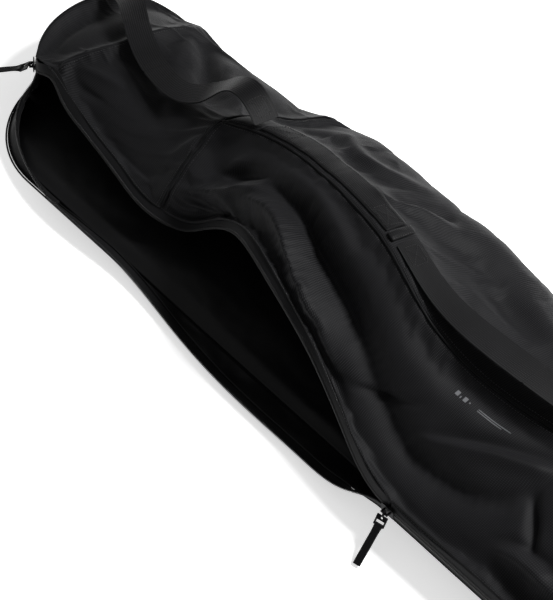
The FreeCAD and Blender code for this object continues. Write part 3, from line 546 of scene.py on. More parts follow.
# Small slack in the cloth, finer near the zip, where the tape is shorter than the cloth sewn to it.
slack = np.zeros(cover.shape[:2])
for i in range(cover.shape[0]):
    for j in range(cover.shape[1]):
        spot = Vector(cover[i, j])
        slack[i, j] = noise.noise(spot * 14) * 2.2 + noise.noise(spot * 34 + Vector((7, 3, 1))) * 0.9
pucker_reach = np.exp(-((across_share - 5.0) / 6.0) ** 2)
lengths = run_lengths(cover[:, 2])
waves = np.sin(lengths / (17 * MM) + 2.2 * np.sin(lengths / (61 * MM)))
slack = slack + pucker_reach * waves[:, None] * 1.5
cover = cover + grid_normals(cover) * (slack * edge_hold * MM)[..., None]


# ---------------- the cover settles as cloth
def settled(grid, hold, growth, frames, cap):
    """The grid after a short cloth simulation in which the cloth is a little too large for its seams."""
    made = grid_object("settling", grid, [])
    group = made.vertex_groups.new(name="hold")
    levels = np.round(hold.ravel(), 2)
    for level in np.unique(levels):
        group.add(np.nonzero(levels == level)[0].tolist(), float(level), "REPLACE")
    cloth = made.modifiers.new("settle", "CLOTH")
    how = cloth.settings
    how.quality = 6
    how.mass = 0.25
    how.tension_stiffness = how.compression_stiffness = 14
    how.shear_stiffness = 6
    how.bending_stiffness = 0.35
    how.air_damping = 2.0
    how.vertex_group_mass = "hold"
    how.pin_stiffness = 0.6
    how.shrink_min = how.shrink_max = -growth
    how.effector_weights.gravity = 0.25
    cloth.collision_settings.use_collision = False
    cloth.point_cache.frame_start, cloth.point_cache.frame_end = 1, frames
    for step in range(1, frames + 1):
        scene.frame_set(step)
    shaped = made.evaluated_get(bpy.context.evaluated_depsgraph_get()).to_mesh()
    found = np.empty(len(shaped.vertices) * 3)
    shaped.vertices.foreach_get("co", found)
    moved = found.reshape(grid.shape) - grid
    reach = np.linalg.norm(moved, axis=2, keepdims=True)
    moved = moved * np.minimum(1, cap / np.maximum(reach, 1e-9))
    bpy.data.objects.remove(made)
    scene.frame_set(1)
    return grid + moved


# How firmly the cloth is held while it settles: free cloth, the strip under the straps, the seams, the edges.
FREE_HOLD, STRAP_HOLD, SEAM_HOLD, EDGE_HOLD = 0.12, 0.5, 0.8, 1.0
hold = np.full(cover.shape[:2], FREE_HOLD)
hold[:, :2] = hold[:, -2:] = EDGE_HOLD
hold[:2] = hold[-2:] = EDGE_HOLD
for line in (NOSE_LINE, NOSE_SEAM, TAIL_SEAM, TAIL_LINE):
    hold[line] = np.maximum(hold[line], SEAM_HOLD)
hold[NOSE_SEAM:TAIL_SEAM + 1, RIDGE] = SEAM_HOLD
hold[NOSE_SEAM:TAIL_SEAM + 1, RIDGE + 1:RIDGE + 15] = STRAP_HOLD
flat_cover = cover
cover = settled(cover, hold, growth=0.03, frames=22, cap=12 * MM)
cover = cover * 0.5 + blurred(cover, 1) * 0.5

# Seams draw the cloth in. Each has a line, a depth in millimetres and a reach in cells.
normals = grid_normals(blurred(cover, 4))
dip = np.zeros(cover.shape[:2])
for line, deep, reach in ((NOSE_LINE, 1.0, 1.2), (TAIL_LINE, 1.0, 1.2), (NOSE_SEAM, 2.6, 1.5),
                          (TAIL_SEAM, 2.6, 1.5)):
    dip = np.maximum(dip, deep * np.exp(-((along_share - line) / reach) ** 2))
on_main = (along_share >= NOSE_SEAM) & (along_share <= TAIL_SEAM)
dip = np.where(on_main, np.maximum(dip, 2.2 * np.exp(-((across_share - RIDGE) / 1.4) ** 2)), dip)
cover = cover - normals * (dip * MM)[..., None]
cover_normals = grid_normals(blurred(cover, 2))


def cover_at(u, v, lift=0.0, smooth=False):
    """Points of the cover at grid places (u, v), lifted by metres, with their outward normals."""
    u, v = np.broadcast_arrays(np.asarray(u, float), np.asarray(v, float))
    u, v = np.clip(u, 0, cover.shape[0] - 1.001), np.clip(v, 0, cover.shape[1] - 1.001)
    points, normals = (smooth_cover, smooth_normals) if smooth else (cover, cover_normals)
    normal = unit(between(normals, u, v))
    return between(points, u, v) + normal * np.asarray(lift)[..., None], normal


FOAM_THICK = 4.2 * MM
PANELS = [
    # name, node, first and last line along, first and last line across, padding and lining nodes
    ("nose_gusset_cloth", "nose_gusset", 0, NOSE_LINE, 0, None, ()),
    ("nose_panel_cloth", "nose_panel", NOSE_LINE, NOSE_SEAM, 0, None, ("nose_padding", "nose_lining")),
    ("near_panel_cloth", "near_panel", NOSE_SEAM, TAIL_SEAM, 0, RIDGE, ("near_padding", "near_lining")),
    ("far_panel_cloth", "far_panel", NOSE_SEAM, TAIL_SEAM, RIDGE, None, ("far_padding", "far_lining")),
    ("tail_panel_cloth", "tail_panel", TAIL_SEAM, TAIL_LINE, 0, None, ("tail_padding", "tail_lining")),
    ("tail_gusset_cloth", "tail_gusset", TAIL_LINE, cover.shape[0] - 1, 0, None, ()),
]
for name, node, u0, u1, v0, v1, inner in PANELS:
    v1 = cover.shape[1] - 1 if v1 is None else v1
    part = cover[u0:u1 + 1, v0:v1 + 1]
    flat_part = flat_cover[u0:u1 + 1, v0:v1 + 1]
    made = thicken(grid_object(name, part, [POLYESTER, LINING]), 1.3 * MM, levels=0, inner_material=1)
    place(made, "cover", "outer_fabric", node)
    declare_sheet(made, flat_part)
    if not inner:
        continue
    # The padding and the lining thin out at the panel's edges, where all the layers are sewn together.
    sampled = part[::3, ::3]
    coarse = blurred(sampled, 3)
    inward = -grid_normals(blurred(coarse, 4))
    rows, columns = coarse.shape[:2]
    i, j = np.meshgrid(np.arange(rows), np.arange(columns), indexing="ij")
    in_from_edge = np.minimum(np.minimum(i, rows - 1 - i), np.minimum(j, columns - 1 - j)) / 3.0
    depth = smooth_step(in_from_edge)[..., None]
    # where a fold dips below the smoothed layers, they are pushed down with it
    sunk = ((sampled - coarse) * inward).sum(axis=2)
    padded_sunk = np.pad(sunk, 2, mode="edge")
    sunk = np.max([padded_sunk[a:a + rows, b:b + columns] for a in range(5) for b in range(5)], axis=0)
    coarse = coarse + inward * np.maximum(sunk, 0)[..., None]
    foam_top = coarse + inward * (2.0 + 0.8 * depth) * MM
    lining_top = coarse + inward * (2.6 + 5.8 * depth) * MM
    padding = grid_object(inner[0].replace("padding", "foam_pad"), foam_top[1:-1, 1:-1], [FOAM])
    thicken(padding, FOAM_THICK, levels=0)
    place(padding, "cover", "foam", inner[0])
    shell = thicken(grid_object(inner[1] + "_cloth", lining_top, [LINING]), 0.8 * MM)
    place(shell, "cover", "lining", inner[1])
    declare_sheet(shell, lining_top)


# ---------------- seams, piping and stitches
def row_at(x):
    """The place along the cover's grid of a place along X in millimetres, measured on the ridge."""
    return float(np.interp(x * MM, cover[:, RIDGE, 0], np.arange(cover.shape[0])))


def tube(name, points, up, radius, material, closed=False):
    """A round cord along points, with flat coordinates along and around it."""
    sides = 8
    if closed:
        ahead = unit(np.roll(points, -1, axis=0) - np.roll(points, 1, axis=0))
    else:
        ahead = unit(np.gradient(points, axis=0))
    side = unit(np.cross(up, ahead))
    out = np.cross(ahead, side)
    turn = np.linspace(0, 2 * math.pi, sides, endpoint=False)
    ring = side[:, None, :] * np.cos(turn)[None, :, None] + out[:, None, :] * np.sin(turn)[None, :, None]
    count, along, width = len(points), run_lengths(points), 2 * math.pi * radius / sides
    faces, flats = [], []
    for i in range(count if closed else count - 1):
        n = (i + 1) % count
        far = along[i] + np.linalg.norm(points[n] - points[i])
        for k in range(sides):
            m = (k + 1) % sides
            faces.append((i * sides + k, n * sides + k, n * sides + m, i * sides + m))
            low, high = k * width, (k + 1) * width
            flats.extend([(along[i], low), (far, low), (far, high), (along[i], high)])
    if not closed:
        for i, order in ((0, range(sides)), (count - 1, reversed(range(sides)))):
            faces.append([i * sides + k for k in order])
            flats.extend([(along[i], 0.0)] * sides)
    vertices = (points[:, None, :] + ring * radius).reshape(-1, 3).tolist()
    made = new_object(name, vertices, faces, [material], flats)
    fix_outside(made)
    return made


STITCH_LENGTH, STITCH_PITCH, STITCH_WIDTH = 3.0 * MM, 4.2 * MM, 0.75 * MM


def stitch_parts(points, up):
    """Vertices of a row of short rounded stitches along a line, each sunk into the cloth at its ends."""
    along = run_lengths(points)
    parts = []
    start = STITCH_PITCH / 2
    while start + STITCH_LENGTH < along[-1]:
        places = np.array((start, start + STITCH_LENGTH / 2, start + STITCH_LENGTH))
        line, lift = read_line(points, along, places), unit(read_line(up, along, places))
        side = unit(np.cross(lift, line[2] - line[0])) * STITCH_WIDTH / 2
        middle = line + lift * np.array((-0.15, 0.35, -0.15))[:, None] * MM
        foot = middle - lift * 0.3 * MM
        parts.append(np.concatenate([foot - side, foot + side, middle + lift * 0.25 * MM]))
        start += STITCH_PITCH
    return parts


STITCH_FACES = [(0, 1, 7, 6), (1, 2, 8, 7), (3, 6, 7, 4), (4, 7, 8, 5), (0, 3, 4, 1), (1, 4, 5, 2), (0, 6, 3),
                (2, 5, 8)]


def stitches(name, rows, body):
    """One object of stitches along several (points, up) lines."""
    parts = [part for points, up in rows for part in stitch_parts(points, up)]
    faces = [tuple(9 * k + c for c in face) for k in range(len(parts)) for face in STITCH_FACES]
    made = new_object(name, np.concatenate(parts).tolist(), faces, [THREAD])
    fix_outside(made)
    return place(made, body, "outer_fabric")


CORD_RADIUS = 1.3 * MM
main_us = np.linspace(NOSE_SEAM + 0.5, TAIL_SEAM - 0.5, 420)
points, up = cover_at(main_us, RIDGE, 1.6 * MM)
place(tube("ridge_cord", points, up, CORD_RADIUS, PIPING), "cover", "piping", "ridge_piping")
for end, u in (("nose", NOSE_SEAM), ("tail", TAIL_SEAM)):
    points, up = cover_at(u, np.linspace(1.0, cover.shape[1] - 3.0, 240), 1.8 * MM)
    place(tube(end + "_seam_cord", points, up, CORD_RADIUS, PIPING), "cover", "piping", end + "_seam_piping")

seam_vs = np.linspace(1, cover.shape[1] - 3, 200)
seam_rows = [cover_at(main_us, RIDGE + side, 0.1 * MM) for side in (-1.7, 1.7)]
for line, side in ((NOSE_SEAM, -1.8), (NOSE_SEAM, 1.8), (TAIL_SEAM, -1.8), (TAIL_SEAM, 1.8),
                   (NOSE_LINE, 1.4), (TAIL_LINE, -1.4)):
    seam_rows.append(cover_at(line + side, seam_vs, 0.1 * MM))
stitches("cover_seam_stitches", seam_rows, "cover")
edge_us = np.linspace(0.5, cover.shape[0] - 1.5, 700)
stitches("cover_zip_stitches", [cover_at(edge_us, 0.8, 0.05 * MM)], "cover")

# ---------------- straps
WEB_WIDTH, WEB_THICK, STRAP_LIFT = 38 * MM, 2.0 * MM, 2.6 * MM
STRAP_LINE = RIDGE + 0.105 * FAR_CELLS


def strip_rows(us, v, width, lift, across=7, smooth=False):
    """Rows of points across a strip that follows the cover."""
    us = np.asarray(us, float)
    sides = [cover_at(us, v + step, smooth=smooth)[0] for step in (-1, 1)]
    cell = np.linalg.norm(sides[1] - sides[0], axis=1) / 2
    shares = np.linspace(-0.5, 0.5, across)
    return np.stack([cover_at(us, v + share * width / cell, lift, smooth)[0] for share in shares], axis=1)


def webbing(name, rows):
    """A webbing strap from rows of points across its upper face, with soft rounded edges."""
    edge = grid_normals(rows)
    rows = rows.copy()
    for side in (0, -1):
        rows[:, side] -= edge[:, side] * 0.5 * MM
    return thicken(grid_object(name, rows, [WEBBING]), WEB_THICK)


def edge_stitches(rows):
    """Lines just inside both edges of a strap."""
    up = grid_normals(rows)[:, 1]
    edges = [rows[:, low] * 0.28 + rows[:, high] * 0.72 for low, high in ((0, 1), (-1, -2))]
    return [(edge + up * 0.1 * MM, up) for edge in edges]


def box_stitches(rows, first, last):
    """A sewn box with a cross in it, on rows first to last of a strap."""
    up = grid_normals(rows)[(first + last) // 2, rows.shape[1] // 2]
    right = rows.shape[1] - 2
    corners = np.array([(first, 1), (first, right), (last, right), (last, 1)], float)
    lines = []
    for a, b in ((0, 1), (1, 2), (2, 3), (3, 0), (0, 2), (1, 3)):
        at = corners[a] + (corners[b] - corners[a]) * np.linspace(0, 1, 12)[:, None]
        lines.append((between(rows, at[:, 0], at[:, 1]) + up * 0.15 * MM, np.tile(up, (12, 1))))
    return lines


def sewn_strap(name, node, x0, x1, count):
    """A webbing strap sewn flat along the ridge between two places along X. Returns its rows of points."""
    us = np.linspace(row_at(x0), row_at(x1), count)
    rows = blurred(strip_rows(us, STRAP_LINE, WEB_WIDTH, STRAP_LIFT), 2)
    made = place(webbing(name, rows), "cover", "webbing", node)
    declare_sheet(made, rows)
    return rows


front_rows = sewn_strap("front_strap", "front_webbing", -410, -142, 110)
rear_rows = sewn_strap("rear_strap", "rear_webbing", 378, 455, 40)
strap_lines = edge_stitches(front_rows) + edge_stitches(rear_rows)
strap_lines += box_stitches(front_rows, 3, 18) + box_stitches(front_rows, 92, 107)
strap_lines += box_stitches(rear_rows, 3, 18)
stitches("strap_stitches", strap_lines, "cover")
for node, x0, x1 in (("front_keeper", -139, -125), ("rear_keeper", 361, 374)):
    # a short folded piece of webbing sewn over the strap's end, standing up as a soft bar
    us = np.linspace(row_at(x0), row_at(x1), 9)
    swell = np.sin(np.linspace(0, math.pi, 9)) ** 0.6 * 2.6 * MM
    rows = strip_rows(us, STRAP_LINE, WEB_WIDTH + 3 * MM, 2.4 * MM + swell, across=9)
    keeper = webbing(node + "_fold", rows)
    declare_sheet(place(keeper, "cover", "webbing", node), rows)
    stitches(node + "_fold_stitches", [(rows[k], grid_normals(rows)[k]) for k in (1, -2)], "cover")


# ---------------- handles
def ribbon_rows(points, ways, count, width, across=7):
    """Rows across a strap along a smooth line, turning evenly through the ways that its width points."""
    line = even_line(np.asarray(points, float) * MM, count)
    ways = np.asarray(ways, float)
    way = read_line(ways, np.arange(len(ways)), np.linspace(0, len(ways) - 1, count))
    ahead = unit(np.gradient(line, axis=0))
    way = unit(way - ahead * (way * ahead).sum(axis=1, keepdims=True))
    return line[:, None, :] + way[:, None, :] * np.linspace(-0.5, 0.5, across)[None, :, None] * width


LEVEL = (0, 1, 0)
NOSE_HANDLE = [(-850, 116, 88), (-792, 104, 114), (-724, 68, 130), (-664, 38, 132), (-598, 18, 139),
               (-544, 18, 149), (-508, 36, 171), (-478, 46, 197), (-448, 45, 205), (-424, 41, 198),
               (-406, 37, 186)]
NOSE_HANDLE_WAYS = [LEVEL, LEVEL, (0.3, 1, -0.2), (0.5, 1, 0), (0.2, 1, 0), (-0.2, 1, 0.2), LEVEL, LEVEL]
TAIL_HANDLE = [(425, 30, 172), (470, 30, 180), (530, 24, 172), (600, 20, 150), (680, 24, 134), (750, 30, 118),
               (812, 30, 95), (846, 30, 78)]
CARRY_LIFTS = [1.0, 1.4, 5, 12, 20, 27, 31, 32, 30, 25, 17, 9, 3, 1.4, 1.0]
carry_us = np.linspace(row_at(-118), row_at(351), 120)
carry_lifts = np.interp(np.linspace(0, 14, 120), np.arange(15), CARRY_LIFTS)
carry_lifts = np.convolve(np.pad(carry_lifts, 6, mode="edge"), np.ones(13) / 13, mode="valid") * MM + 1.6 * MM
carry_rows = strip_rows(carry_us, STRAP_LINE, WEB_WIDTH, carry_lifts, smooth=True)
HANDLES = [
    ("nose_handle", ribbon_rows(NOSE_HANDLE, NOSE_HANDLE_WAYS, 130, WEB_WIDTH)),
    ("carry_handle", carry_rows),
    ("tail_handle", ribbon_rows(TAIL_HANDLE, [LEVEL] * 4, 110, WEB_WIDTH)),
]
SEWN_REACH, TURN_REACH = 26 * MM, 95 * MM
for node, rows in HANDLES:
    middle = len(rows) // 2
    for half, part in (("first", rows[: middle + 1]), ("second", rows[middle:][::-1])):
        made = thicken(grid_object(f"{node}_{half}_half", part, [WEBBING], flip=half == "second"), WEB_THICK,
                       offset=-1.0 if node == "carry_handle" else 0.0)
        select_only(made)
        bpy.ops.object.shade_smooth_by_angle(angle=math.radians(40))
        made.select_set(False)
        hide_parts(node)
        line = part[:, part.shape[1] // 2]
        along = run_lengths(line)
        ends = [Vector(line[np.searchsorted(along, reach)]) for reach in (SEWN_REACH, TURN_REACH)]
        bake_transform(made)
        declare_sheet(made, part)
    sewn = box_stitches(rows, 2, 9) + box_stitches(rows, len(rows) - 10, len(rows) - 3)
    if node != "carry_handle":
        sewn = [(line + up * WEB_THICK / 2, up) for line, up in sewn]
    stitches(node + "_stitches", sewn, "cover")


# ---------------- printed mark
# Start and end along the mark, then low and high across it, as shares.
MARKS = [(0.00, 0.06, 0.0, 1.0), (0.09, 0.11, 0.0, 0.5), (0.15, 0.21, 0.0, 1.0), (0.25, 0.27, 0.4, 0.7),
         (0.42, 1.00, 0.62, 0.78), (0.42, 0.86, 0.22, 0.38)]


def printed_mark():
    """Plain bars and dots printed on the near panel."""
    vertices, faces = [], []
    us = (row_at(60), row_at(142))
    for start, end, low, high in MARKS:
        u = np.linspace(us[0] + (us[1] - us[0]) * start, us[0] + (us[1] - us[0]) * end, 6)
        v = RIDGE - 8.6 - 1.8 * (1 - np.linspace(low, high, 2))
        grid = np.stack([cover_at(u, place_v, 0.35 * MM)[0] for place_v in v], axis=1)
        first = len(vertices)
        vertices.extend(grid.reshape(-1, 3).tolist())
        faces.extend((n, n + 2, n + 3, n + 1) for n in range(first, first + 10, 2))
    return thicken(new_object("plain_print", vertices, faces, [PRINT], smooth=False), 0.25 * MM, levels=0)


place(printed_mark(), "cover", "print", "printed_patch")

# ---------------- base
HALF_LENGTH, HALF_WIDTH, NEAR_RADIUS, FAR_RADIUS = 830.0, 172.0, 150.0, 80.0


def plate_grid(inset, across=40):
    """A grid over the base's rounded outline in millimetres, with its rows closer together at the corners."""
    half_x, half_y = HALF_LENGTH - inset, HALF_WIDTH - inset
    near, far = NEAR_RADIUS - inset, FAR_RADIUS - inset
    corner = half_x - near + near * np.sin(np.linspace(0, math.pi / 2, 22))
    xs = np.concatenate([-corner[::-1], np.linspace(-half_x + near, half_x - near, 150)[1:-1], corner])
    rows = []
    for x in xs:
        lows = []
        for radius in (near, far):
            over = max(0.0, abs(x) - (half_x - radius))
            lows.append(half_y - radius + math.sqrt(max(0.0, radius ** 2 - over ** 2)))
        y = np.linspace(-lows[0], lows[1], across)
        rows.append(np.stack([np.full(across, x), y, np.zeros(across)], axis=1))
    return np.array(rows)


def height_noise(grid, scale, amount, shift=0.0):
    """Smooth seeded unevenness at each point of a grid in metres."""
    flat = grid.reshape(-1, 3)
    made = [noise.noise(Vector((p[0] * scale + shift, p[1] * scale - shift, p[2] * scale))) for p in flat]
    return np.array(made).reshape(grid.shape[:2]) * amount


def edge_distance(shape):
    i, j = np.meshgrid(np.arange(shape[0]), np.arange(shape[1]), indexing="ij")
    return np.minimum(np.minimum(i, shape[0] - 1 - i), np.minimum(j, shape[1] - 1 - j))


bottom = plate_grid(0.5) * MM
flat_bottom = bottom.copy()
rim = smooth_step(edge_distance(bottom.shape) / 3.0)
bottom[..., 2] = (3.4 - 1.6 * rim) * MM + np.abs(height_noise(bottom, 22, 0.5 * MM)) * rim
made = thicken(grid_object("bottom_cloth", bottom, [SHADED_WALL_CLOTH]), 1.5 * MM)
declare_sheet(place(made, "base", "outer_fabric", "bottom_panel"), flat_bottom)

pad = plate_grid(15) * MM
rim = smooth_step(edge_distance(pad.shape) / 3.0)
pad[..., 2] = (4.6 + 3.6 * rim) * MM + height_noise(pad, 9, 0.5 * MM) * rim
made = thicken(grid_object("base_foam_pad", pad, [FOAM]), FOAM_THICK, levels=0)
place(made, "base", "foam", "base_padding")

bed = plate_grid(7, across=64) * MM
flat_bed = bed.copy()
rim = smooth_step(edge_distance(bed.shape) / 4.0)
ripples = height_noise(bed * np.array((0.35, 1, 1)), 26, 2.6 * MM) + height_noise(bed, 60, 0.7 * MM, 3.0)
bed[..., 2] = (5.8 + 5.0 * rim) * MM + (ripples + 1.2 * MM) * rim
bed[..., 2] = np.maximum(bed[..., 2], 5.4 * MM)
made = thicken(grid_object("base_lining_cloth", bed, [LINING]), 0.9 * MM)
declare_sheet(place(made, "base", "lining", "base_lining"), flat_bed)

outline = plate_grid(-1.6, across=3)
near_edge, far_edge = outline[:, 0], outline[:, -1]
ends = [np.linspace(near_edge[k], far_edge[k], 24)[1:-1] for k in (-1, 0)]
ring = np.concatenate([near_edge, ends[0], far_edge[::-1], ends[1][::-1]]) * MM
ring[:, 2] = 1.5 * MM
ring_up = np.tile(np.array((0.0, 0.0, 1.0)), (len(ring), 1))
place(tube("base_edge_cord", ring, ring_up, 1.35 * MM, PIPING, closed=True), "base", "piping", "base_piping")

# ---------------- lines of the zip
UPPER_BEAD, LOWER_BEAD = NOSE_ZIP_HEIGHT + HALF_SPACING, NOSE_ZIP_HEIGHT - HALF_SPACING
open_stations = [station for station in STATIONS if station[0] < 0]
SIDE_LIP = [nose_arc(51.4, UPPER_BEAD), nose_arc(56, UPPER_BEAD + 0.6), (-754, -71, 88), (-710, -83, 86)]
SIDE_LIP += [(x, *lip) for x, lip, *_ in open_stations] + [(68, -197, 51), (84, -197, 49.4)]
SIDE_LEANS = [90, 84, 62, 45] + [lean for _, _, lean, *_ in open_stations] + [90, 90]
BASE_LIP = [(84, -197, 44), (66, -197, 42.5), (18, -208, 28), (-63, -210, 14), (-181, -209, 11),
            (-314, -199, 11), (-450, -183, 18), (-528, -184, 26), (-631, -182, 28), (-702, -163, 32),
            (-748, -138, 40), (-770, -112, 53), (-776, -89, 64), nose_arc(56.5, LOWER_BEAD - 1.6),
            nose_arc(53.5, LOWER_BEAD - 0.3), nose_arc(51.4, LOWER_BEAD)]
NOSE_TRACK = [nose_arc(a, NOSE_ZIP_HEIGHT) for a in (50, 40, 30, 20, 10, 0)]
NOSE_TRACK += [(-845, 75, 72), (-845, 102, 61), (-845, 124, 52)]
SIDE_TRACK = [(x, -197, ZIP_HEIGHT) for x in (87, 240, 400, 560, 694)]
TAIL_TRACK = [tail_arc(a, ZIP_HEIGHT) for a in (89.6, 72, 54, 36, 18, 0)]
TAIL_TRACK += [(845, y, ZIP_HEIGHT) for y in (10, 70, 128)]

LIP_POINTS = 340
DOWN = np.array((0.0, 0.0, -1.0))


def level_across(line, sign=1):
    """Level unit vectors square to a line."""
    ahead = np.gradient(line, axis=0)
    return unit(np.stack([ahead[:, 1], -ahead[:, 0], np.zeros(len(line))], axis=1)) * sign


upper_lip = even_line(SIDE_LIP, LIP_POINTS) * MM
lip_along = run_lengths(upper_lip)
lean_places = [lip_along[np.linalg.norm(upper_lip - np.array(p) * MM, axis=1).argmin()] for p in SIDE_LIP]
lean = np.radians(np.interp(lip_along, lean_places, SIDE_LEANS))
upper_ways = np.stack([np.zeros(LIP_POINTS), np.cos(lean), np.sin(lean)], axis=1)

# The lower lip's tape lies nearly level where the lip is low, and turns down towards both sliders.
lower_lip = even_line(BASE_LIP, LIP_POINTS) * MM
lip_out = level_across(lower_lip, -1)
lip_out = np.where((lip_out @ np.array((0.3, -1, 0)) < 0)[:, None], -lip_out, lip_out)
low = np.clip((44 * MM - lower_lip[:, 2]) / (22 * MM), 0, 1)[:, None]
lower_ways = unit(DOWN * (1 - low) + (lip_out * -0.94 + DOWN * 0.2) * low)
rise = np.clip((np.linspace(0, 29, LIP_POINTS) - 20) / 5, 0, 1)[:, None]
lower_ways = unit(lower_ways * (1 - rise) + DOWN * rise)

FOOT_INSET, FOOT_HEIGHT = 4, 3.2


def wall_foot(head, side, corner):
    """The wall's foot under a head point, on the zip side (-1) or the fold side (1), in millimetres."""
    half_x, half_y, radius = HALF_LENGTH - FOOT_INSET, HALF_WIDTH - FOOT_INSET, corner - FOOT_INSET
    if abs(head[0]) < half_x - radius:
        return np.array((head[0], side * half_y, FOOT_HEIGHT))
    centre = np.array((math.copysign(half_x - radius, head[0]), side * (half_y - radius), 0))
    way = np.array((head[0], head[1], 0)) - centre
    if side < 0 < way[1]:
        # past the round corner, on the straight end
        return np.array((math.copysign(half_x, head[0]), centre[1] + way[1] * 0.72, FOOT_HEIGHT))
    return centre + way / np.linalg.norm(way) * radius + np.array((0, 0, FOOT_HEIGHT))


def wall(name, node, heads, side, flip, swell=1.6):
    """A side wall: cloth from the bottom's edge up to the zip or the fold, slightly slack."""
    feet = np.stack([wall_foot(head, side, NEAR_RADIUS if side < 0 else FAR_RADIUS) for head in heads])
    share = np.linspace(0, 1, 10)[None, :, None]
    flat_grid = feet[:, None, :] * (1 - share) + heads[:, None, :] * share
    normals = grid_normals(flat_grid) * (-1 if flip else 1)
    belly = np.sin(np.linspace(0, math.pi, 10))[None, :]
    flat_grid = flat_grid * MM
    loose = height_noise(flat_grid, 16, 2.4) + height_noise(flat_grid, 42, 1.3, 5.0)
    grid = flat_grid + normals * ((loose + swell) * belly * MM)[..., None]
    made = thicken(grid_object(name, grid, [SHADED_WALL_CLOTH, LINING], flip=flip), 1.6 * MM, inner_material=1)
    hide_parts(node)
    declare_sheet(made, flat_grid)
    return made, grid


HEM_HEIGHT = ZIP_HEIGHT - HALF_SPACING - FABRIC_REACH
open_heads = (lower_lip + lower_ways * FABRIC_REACH * MM) / MM
shut_heads = np.array([(x, -ZIP_SIDE, HEM_HEIGHT) for x in np.linspace(86, 692, 120)])
tail_heads = even_line([(x, y, HEM_HEIGHT) for x, y, z in TAIL_TRACK], 80)
nose_heads = even_line([(x, y, z - HALF_SPACING - FABRIC_REACH) for x, y, z in NOSE_TRACK], 76)
walls = [wall("open_side_wall", "side_wall_open", open_heads, -1, True, swell=0.4),
         wall("shut_side_wall", "side_wall_closed", shut_heads, -1, False),
         wall("tail_end_wall", "tail_wall", tail_heads, -1, False),
         wall("nose_end_wall", "nose_wall", nose_heads, -1, True)]
for made, _ in walls:
    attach(made, "base")
# The wall's top is sewn inside the cover's edge and follows it.
NOSE_HEADS = [(-842, 134, 63), (-829, 153, 56.5), (-806, 168, 51), (-765, 175.6, 47.5), (-690, 176, 47.5)]
TAIL_HEADS = [(690, 176, 47.5), (765, 175.6, 47.5), (806, 168, 50.5), (829, 152, 54), (842, 134, 57)]
far_line = even_line(NOSE_HEADS + [(x, 177.4, 48) for x in (-500, -170, 170, 500)] + TAIL_HEADS, 240)
made, _ = wall("fold_side_wall", "far_wall", far_line, 1, True)
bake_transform(made)
wall_lines = []
for (_, grid), side in zip(walls, (-1, 1, 1, -1)):
    top = grid[:, -1]
    out = unit(np.cross(np.gradient(top, axis=0), top - grid[:, 0])) * side
    wall_lines.append((grid[:, -2] * 0.6 + top * 0.4 + out * 0.15 * MM, out))
stitches("wall_zip_stitches", wall_lines, "base")

# ---------------- zip tapes and coils
TAPE_REACH, COIL_HALF_HEIGHT = 15.2 * MM, 1.25 * MM
COIL_PITCH, COIL_WIRE, COIL_STEPS = 2.0 * MM, 0.42 * MM, 8


def tape_and_coil(prefix, line, ways, body, out, reach=2.0 * MM):
    """One half of the zip: a woven tape that dives under the cloth, and a bead of coil turns on its edge."""
    out = unit(out)
    share = np.array((-0.02, 0.12, 0.35, 0.62, 0.82, 1.0))
    depth = np.array((0.0, 0.0, -0.4, -1.2, -1.9, -2.2)) * MM
    grid = (line[:, None, :] + ways[:, None, :] * (share * TAPE_REACH)[None, :, None]
            + out[:, None, :] * depth[None, :, None])
    facing = grid_normals(grid)[len(line) // 2, 3] @ out[len(line) // 2] < 0
    tape = grid_object(prefix + "_zip_tape", grid, [ZIP_TAPE], flip=bool(facing))
    thicken(tape, 0.8 * MM, offset=0.0)
    declare_sheet(place(tape, body, "zip_tape", prefix + "_tape"), grid)
    along = run_lengths(line)
    turns = max(4, int(along[-1] / COIL_PITCH))
    places = np.linspace(0, along[-1], turns * COIL_STEPS)
    turn = np.linspace(0, turns * 2 * math.pi, turns * COIL_STEPS)
    centre, way, lift = (read_line(each, along, places) for each in (line, ways, out))
    squarer = np.sign(np.cos(turn)) * np.abs(np.cos(turn)) ** 0.7
    helix = centre + way * (squarer * reach)[:, None] + lift * (np.sin(turn) * COIL_HALF_HEIGHT)[:, None]
    coil = tube(prefix + "_zip_coil", helix, lift, COIL_WIRE, COIL)
    place(coil, body, "zip_coil", prefix + "_coil")


def track(points, count, shift):
    line = even_line(points, count) * MM
    line[:, 2] += shift * HALF_SPACING * MM
    return line


upper_out = unit(np.cross(np.gradient(upper_lip, axis=0), upper_ways))
lower_out = unit(np.cross(np.gradient(lower_lip, axis=0), lower_ways))
turned_in = lower_out[:, 2] + (lower_out * lip_out).sum(axis=1) < 0
lower_out[turned_in] *= -1
tape_and_coil("upper_open", upper_lip, upper_ways, "cover", upper_out)
tape_and_coil("lower_open", lower_lip, lower_ways, "base", lower_out)
for shift, level, body in ((1, "upper", "cover"), (-1, "lower", "base")):
    for part, points, count, sign in (("side", SIDE_TRACK, 120, 1), ("tail", TAIL_TRACK, 90, 1),
                                      ("nose", NOSE_TRACK, 80, -1)):
        line = track(points, count, shift)
        tape_and_coil(f"{level}_{part}", line, np.tile(np.array((0.0, 0.0, float(shift))), (count, 1)), body,
                      level_across(line, sign), reach=2.6 * MM)

# ---------------- pulls
joints = {joint["name"]: joint for joint in frame["joints"]}


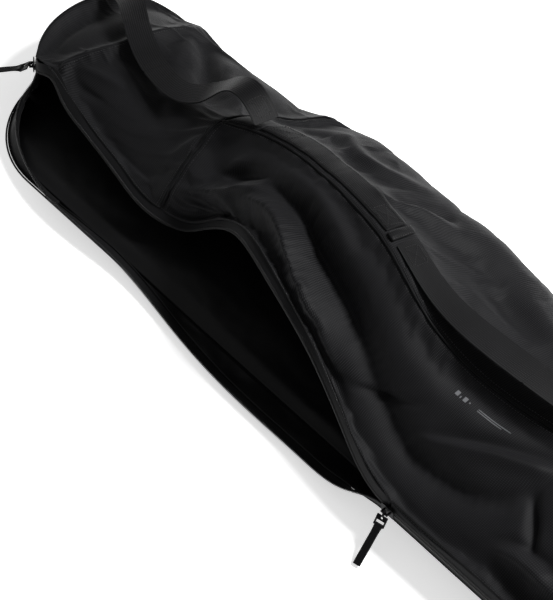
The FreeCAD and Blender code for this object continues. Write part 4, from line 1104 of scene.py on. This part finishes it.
def pull_ribbon(name, node, joint, drop):
    """A grosgrain ribbon folded round the link's bar and sewn to itself."""
    bar = np.array(joint["pos_m"], float)
    aside = unit(np.array(joint["axis"], float))
    out = np.array((aside[1], -aside[0], 0.0))
    lay = out * math.cos(math.radians(drop)) - np.array((0, 0, math.sin(math.radians(drop))))
    thick = np.cross(aside, lay)
    half = [(55, 0.42), (40, 0.5), (24, 0.42), (9, 0.5), (4.5, 1.4), (1.5, 2.4), (-1.2, 2.3), (-2.45, 0.9)]
    line = even_line([(a, b, 0) for a, b in half] + [(a, -b, 0) for a, b in reversed(half)], 90)
    centre = bar + (lay * line[:, :1] + thick * line[:, 1:2]) * MM
    rows = centre[:, None, :] + aside[None, None, :] * np.linspace(-5.0, 5.0, 7)[None, :, None] * MM
    made = thicken(grid_object(name, rows, [RIBBON]), 0.7 * MM, offset=0.0, levels=1)
    place(made, node, "ribbon", node)
    declare_sheet(made, rows)
    return made


pull_ribbon("side_ribbon", "side_pull_ribbon", joints["side_ribbon_swing"], 34)
pull_ribbon("nose_ribbon", "nose_pull_ribbon", joints["nose_ribbon_swing"], 18)
for end in ("side", "nose"):
    for node, material in ((end + "_slider", SLIDER_METAL), (end + "_pull_link", LINK_METAL)):
        for holder in frame["nodes"][node].material_slots:
            holder.material = material

# ---------------- floor, light and camera
# Painted studio board: matt and nearly white.
floor_material = new_material("pale_floor")
board = add(floor_material, "ShaderNodeBsdfPrincipled",
            {"Base Color": linear("#f6f6f6"), "Roughness": 0.9, "Specular IOR Level": 0.1,
             "Emission Color": linear("#ffffff"), "Emission Strength": 0.55})
finish_material(floor_material, board)
bpy.ops.mesh.primitive_plane_add(size=16, location=(0, 0, 0))
floor = bpy.context.object
floor.name = "floor"
floor.data.materials.append(floor_material)

world = bpy.data.worlds.new("studio")
scene.world = world
world.use_nodes = True
world.node_tree.nodes["Background"].inputs["Color"].default_value = linear("#ffffff")
world.node_tree.nodes["Background"].inputs["Strength"].default_value = 0.3

softbox_data = bpy.data.lights.new("softbox", "AREA")
softbox_data.shape, softbox_data.size, softbox_data.energy = "DISK", 0.8, 145
softbox = bpy.data.objects.new("softbox", softbox_data)
softbox.location = (0.95, 1.4, 2.4)
softbox.rotation_euler = (Vector((-0.1, 0, 0.1)) - softbox.location).to_track_quat("-Z", "Y").to_euler()
scene.collection.objects.link(softbox)

AZIMUTH, ELEVATION, DISTANCE = math.radians(48.5), math.radians(50), 2.6
LOOK_AT = Vector((-0.22, -0.11, 0.10))
on_floor = math.cos(ELEVATION)
back = Vector((math.sin(AZIMUTH) * on_floor, -math.cos(AZIMUTH) * on_floor, math.sin(ELEVATION)))
camera_data = bpy.data.cameras.new("camera")
camera_data.lens, camera_data.sensor_width = 121.7, 36.0
camera = bpy.data.objects.new("camera", camera_data)
camera.location = LOOK_AT + back * DISTANCE
camera.rotation_euler = (-back).to_track_quat("-Z", "Y").to_euler()
scene.collection.objects.link(camera)
scene.camera = camera
scene.view_settings.view_transform = "Standard"

for sizes in FLAT_SIZES:
    print("flat", *sizes)
